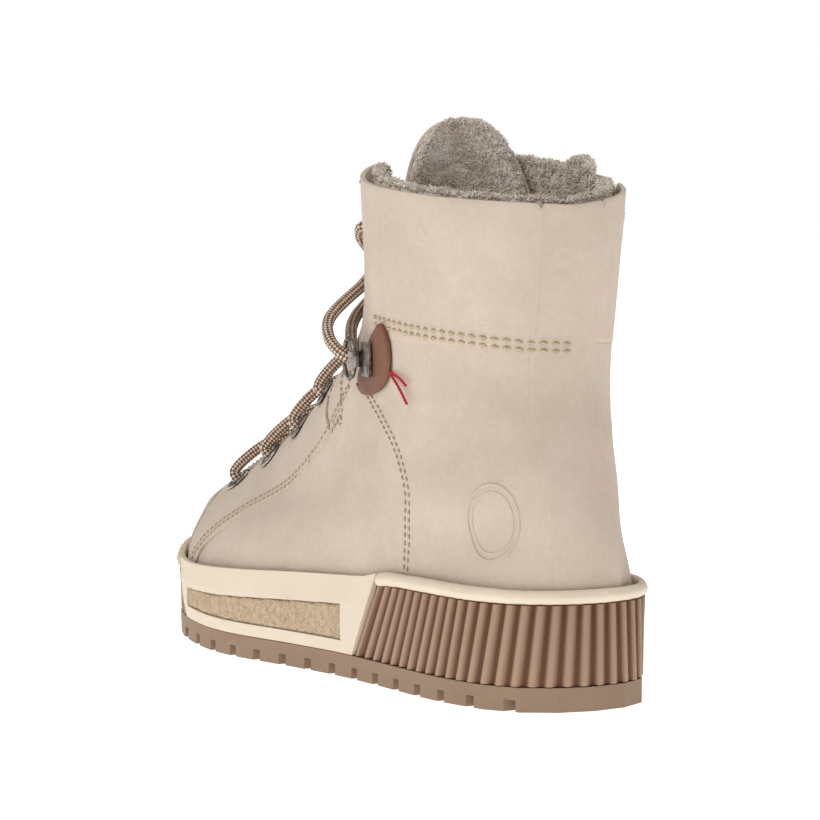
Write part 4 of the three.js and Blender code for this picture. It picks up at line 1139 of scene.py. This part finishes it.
@dataclass
class Lace:
    """One half of the lace, and the tip on its end."""

    name: str
    route: tuple
    length: float
    width: float = 4.2
    sides: int = 16
    step: float = 0.6

    def radius(self, around: float, run: float) -> float:
        """The braid's radius: plaits that run both ways."""
        turn = math.tau * around * 4
        plait = math.sin(turn + run * 2700) * math.sin(turn - run * 2700)
        return (self.width / 2 + 0.16 * plait) * MM

    def build(self) -> None:
        """Builds the braided tube and its tip."""
        points = [Vector(p) * MM for p in self.route]
        line = curve_through(points, self.step * MM)
        made = piece(f"lace_{self.name}_braid", tube(line, self.radius, self.sides), Look.LACE)
        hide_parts(f"lace_{self.name}")
        tip_node = f"lace_tip_{self.name}"
        tip = settled(copy_of(tip_node), bevel(0.3, 0.9))
        tip_piece = piece(tip_node + "_sleeve", tip, Look.TIP)
        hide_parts(tip_node)


# ---------------------------------------------------------------- metal and trim
@dataclass
class Hardware:
    """Eyelets, ankle clips and rings, the zip and the leather patches."""

    upper: Upper
    eyelet_profile: tuple = ((3.25, -2.2), (3.75, -2.2), (3.75, 0.5), (5.5, 0.5), (5.7, 0.85), (5.2, 1.35),
                             (4.3, 1.6), (3.6, 1.5), (3.25, 1.0))
    patch_grow: tuple = (1.3, 1.0)
    patch_move: float = 3.5

    def eyelet(self, node: str) -> None:
        """A rolled eyelet, spun about its CAD node's axis."""
        points = [vert.co for vert in NODES[node].data.vertices]
        middle = sum(points, Vector()) / len(points)
        low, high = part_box(node)
        axis = self.upper.nearest((low + high) / 2)[1]
        flange = max((p - middle).dot(axis) for p in points)
        seat = middle + axis * (flange - 1.55 * MM)
        mesh = bmesh.new()
        across = axis.orthogonal().normalized()
        ring = [mesh.verts.new(seat + across * r * MM + axis * z * MM) for r, z in self.eyelet_profile]
        edges = [mesh.edges.new((a, b)) for a, b in zip(ring, ring[1:] + ring[:1])]
        bmesh.ops.spin(mesh, geom=ring + edges, cent=seat, axis=axis, angle=math.tau, steps=32, use_merge=True)
        bmesh.ops.remove_doubles(mesh, verts=mesh.verts, dist=0.005 * MM)
        bmesh.ops.recalc_face_normals(mesh, faces=mesh.faces)
        made = piece(node + "_metal", mesh, Look.SILVER)
        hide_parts(node)

    def rounded(self, node: str, look: Look, levels: int, body: Optional[str] = None) -> None:
        """A smooth copy of a node."""
        mesh = copy_of(node)
        to_quads(mesh)
        made = piece(node + "_made", settled(mesh, smoother(levels)), look, body or body_of(node))
        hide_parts(node)

    def patch(self, side: int, word: str) -> None:
        """A teardrop leather patch that follows the leather, wider than its backing."""
        node = f"patch_{word}"
        mesh = copy_of(node)
        to_quads(mesh)
        mesh = settled(mesh, smoother(2))
        low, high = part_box(node)
        middle = (low + high) / 2
        for vert in mesh.verts:
            rise = (vert.co - self.upper.nearest(vert.co)[0]).length
            y = middle.y + (vert.co.y - middle.y) * self.patch_grow[0] + self.patch_move * MM
            z = middle.z + (vert.co.z - middle.z) * self.patch_grow[1]
            place, normal = self.upper.on_side(side, y / MM, z / MM)
            vert.co = place + normal * max(rise - 0.1 * MM, 0.3 * MM)
        made = piece(node + "_made", mesh, Look.COGNAC)
        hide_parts(node)

    def bevelled(self, node: str, look: Look, width: float) -> None:
        """A copy of a node with softened edges."""
        mesh = copy_of(node)
        bmesh.ops.dissolve_limit(mesh, angle_limit=0.02, verts=mesh.verts, edges=mesh.edges)
        mesh = settled(mesh, bevel(width, 0.6))
        made = piece(node + "_made", mesh, look, body_of(node), False)
        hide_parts(node)

    def build(self) -> None:
        """Builds every metal and trim piece."""
        for side in ("outer", "inner"):
            for index in range(1, 6):
                self.eyelet(f"eyelet_{side}_{index}")
            self.patch(1 if side == "outer" else -1, side)
            self.bevelled(f"clip_{side}", Look.SILVER, 0.3)
            self.rounded(f"lace_ring_{side}", Look.SILVER, 2)
        for node in ("zip_tape_rear", "zip_tape_front"):
            self.bevelled(node, Look.TAPE, 0.15)
        for node in ("zip_teeth_rear", "zip_teeth_front", "zip_stop", "zip_slider", "zip_pull_tab"):
            self.bevelled(node, Look.SILVER, 0.12)


@dataclass
class RedThread:
    """A red thread sewn into the rear corner of the outer patch, with two free ends."""

    upper: Upper
    radius: float = 0.45

    def build(self) -> None:
        """Builds the two free ends."""
        for name, ends in (("long", ((58, 109.5), (62, 107.5), (67, 104.5), (71, 101.5), (74, 99.2))),
                           ("short", ((58, 109.5), (63, 108.6), (68, 107.6), (72.5, 105.4)))):
            points = []
            for k, (y, z) in enumerate(ends):
                place, normal = self.upper.on_side(1, y, z)
                points.append(place + normal * (0.8 + 0.35 * k) * MM)
            line = curve_through(points, 0.5 * MM)
            piece(f"red_thread_{name}", tube(line, lambda a, r: self.radius * (
                1 + 0.18 * math.sin(math.tau * a * 2 + r * 3600)) * MM, 8), Look.RED)


# ---------------------------------------------------------------- stage
@dataclass
class Studio:
    """Pale floor, soft lights and the camera."""

    place: tuple = (0.61070, 1.14412, 0.18128)
    right: tuple = (-0.88048, 0.47409, 0.0)
    up: tuple = (-0.03274, -0.06081, 0.99761)
    back: tuple = (0.47296, 0.87838, 0.06906)
    lens: float = 156.95
    sky: float = 1.0
    shade: float = 0.35
    glow: float = 0.95
    floor_tones: tuple = (0.86, 0.9)
    lamps: tuple = (("key", (1.3, 0.2, 1.2), 0.9, 7.6), ("fill", (0.9, 1.6, 0.6), 1.2, 1.2),
                    ("top", (-0.3, 0.2, 1.6), 1.2, 7.0))
    aim: tuple = (0, 0, 0.09)

    def camera(self) -> None:
        """Makes the scene's camera."""
        data = bpy.data.cameras.new("camera")
        data.lens = self.lens
        data.sensor_width = 36.0
        data.clip_end = 20.0
        made = bpy.data.objects.new("camera", data)
        bpy.context.scene.collection.objects.link(made)
        turn = Matrix((self.right, self.up, self.back)).transposed().to_4x4()
        turn.translation = Vector(self.place)
        made.matrix_world = turn
        bpy.context.scene.camera = made

    def floor(self) -> None:
        """Makes the floor."""
        mesh = bmesh.new()
        bmesh.ops.create_grid(mesh, x_segments=1, y_segments=1, size=6.0)
        bmesh.ops.translate(mesh, verts=mesh.verts, vec=(0, 0, -0.0004))
        data = bpy.data.meshes.new("floor")
        mesh.to_mesh(data)
        mesh.free()
        made = bpy.data.objects.new("floor", data)
        bpy.context.scene.collection.objects.link(made)
        paint = Paint("pale_floor", roughness=0.9, emission_strength=self.glow)
        paint.shader.inputs["Emission Color"].default_value = (1, 1, 1, 1)
        cloud = paint.noise(2.0, 2)
        dim, pale = ((tone, tone, tone, 1) for tone in self.floor_tones)
        paint.feed("Base Color", paint.ramp(cloud, (0.0, dim), (1.0, pale)))
        data.materials.append(paint.material)

    def world(self) -> None:
        """Makes the world: white to the camera, and dimmer as a light."""
        world = bpy.data.worlds.new("studio")
        world.use_nodes = True
        tree = world.node_tree
        tree.nodes["Background"].inputs[0].default_value = (1, 1, 1, 1)
        path = tree.nodes.new("ShaderNodeLightPath")
        level = tree.nodes.new("ShaderNodeMapRange")
        level.inputs["To Min"].default_value = self.shade
        level.inputs["To Max"].default_value = self.sky
        tree.links.new(path.outputs["Is Camera Ray"], level.inputs["Value"])
        tree.links.new(level.outputs[0], tree.nodes["Background"].inputs[1])
        bpy.context.scene.world = world

    def light(self, name: str, place: Point, size: float, power: float) -> None:
        """Makes one soft area light that faces the boot."""
        data = bpy.data.lights.new(name, "AREA")
        data.size = size
        data.energy = power
        made = bpy.data.objects.new(name, data)
        bpy.context.scene.collection.objects.link(made)
        made.location = place
        made.rotation_euler = (Vector(self.aim) - Vector(place)).to_track_quat("-Z", "Y").to_euler()

    def build(self) -> None:
        """Sets the stage."""
        bpy.context.scene.view_settings.view_transform = "Standard"
        self.camera()
        self.floor()
        self.world()
        for lamp in self.lamps:
            self.light(*lamp)


def main() -> None:
    """Builds the boot in order."""
    logging.basicConfig(level=logging.INFO, format="%(message)s")
    Studio().build()
    Lace("outer", ROUTE_OUTER, 0.491).build()
    Lace("inner", ROUTE_INNER, 0.486).build()
    upper = Upper()
    upper.build()
    stitching = Stitching(upper)
    stitching.build()
    HeelEmblem(upper).build()
    FleeceLining().build()
    Tongue(stitching).build()
    Sole().build()
    Hardware(upper).build()
    RedThread(upper).build()
    bpy.context.view_layer.update()


if __name__ == "__main__":
    main()
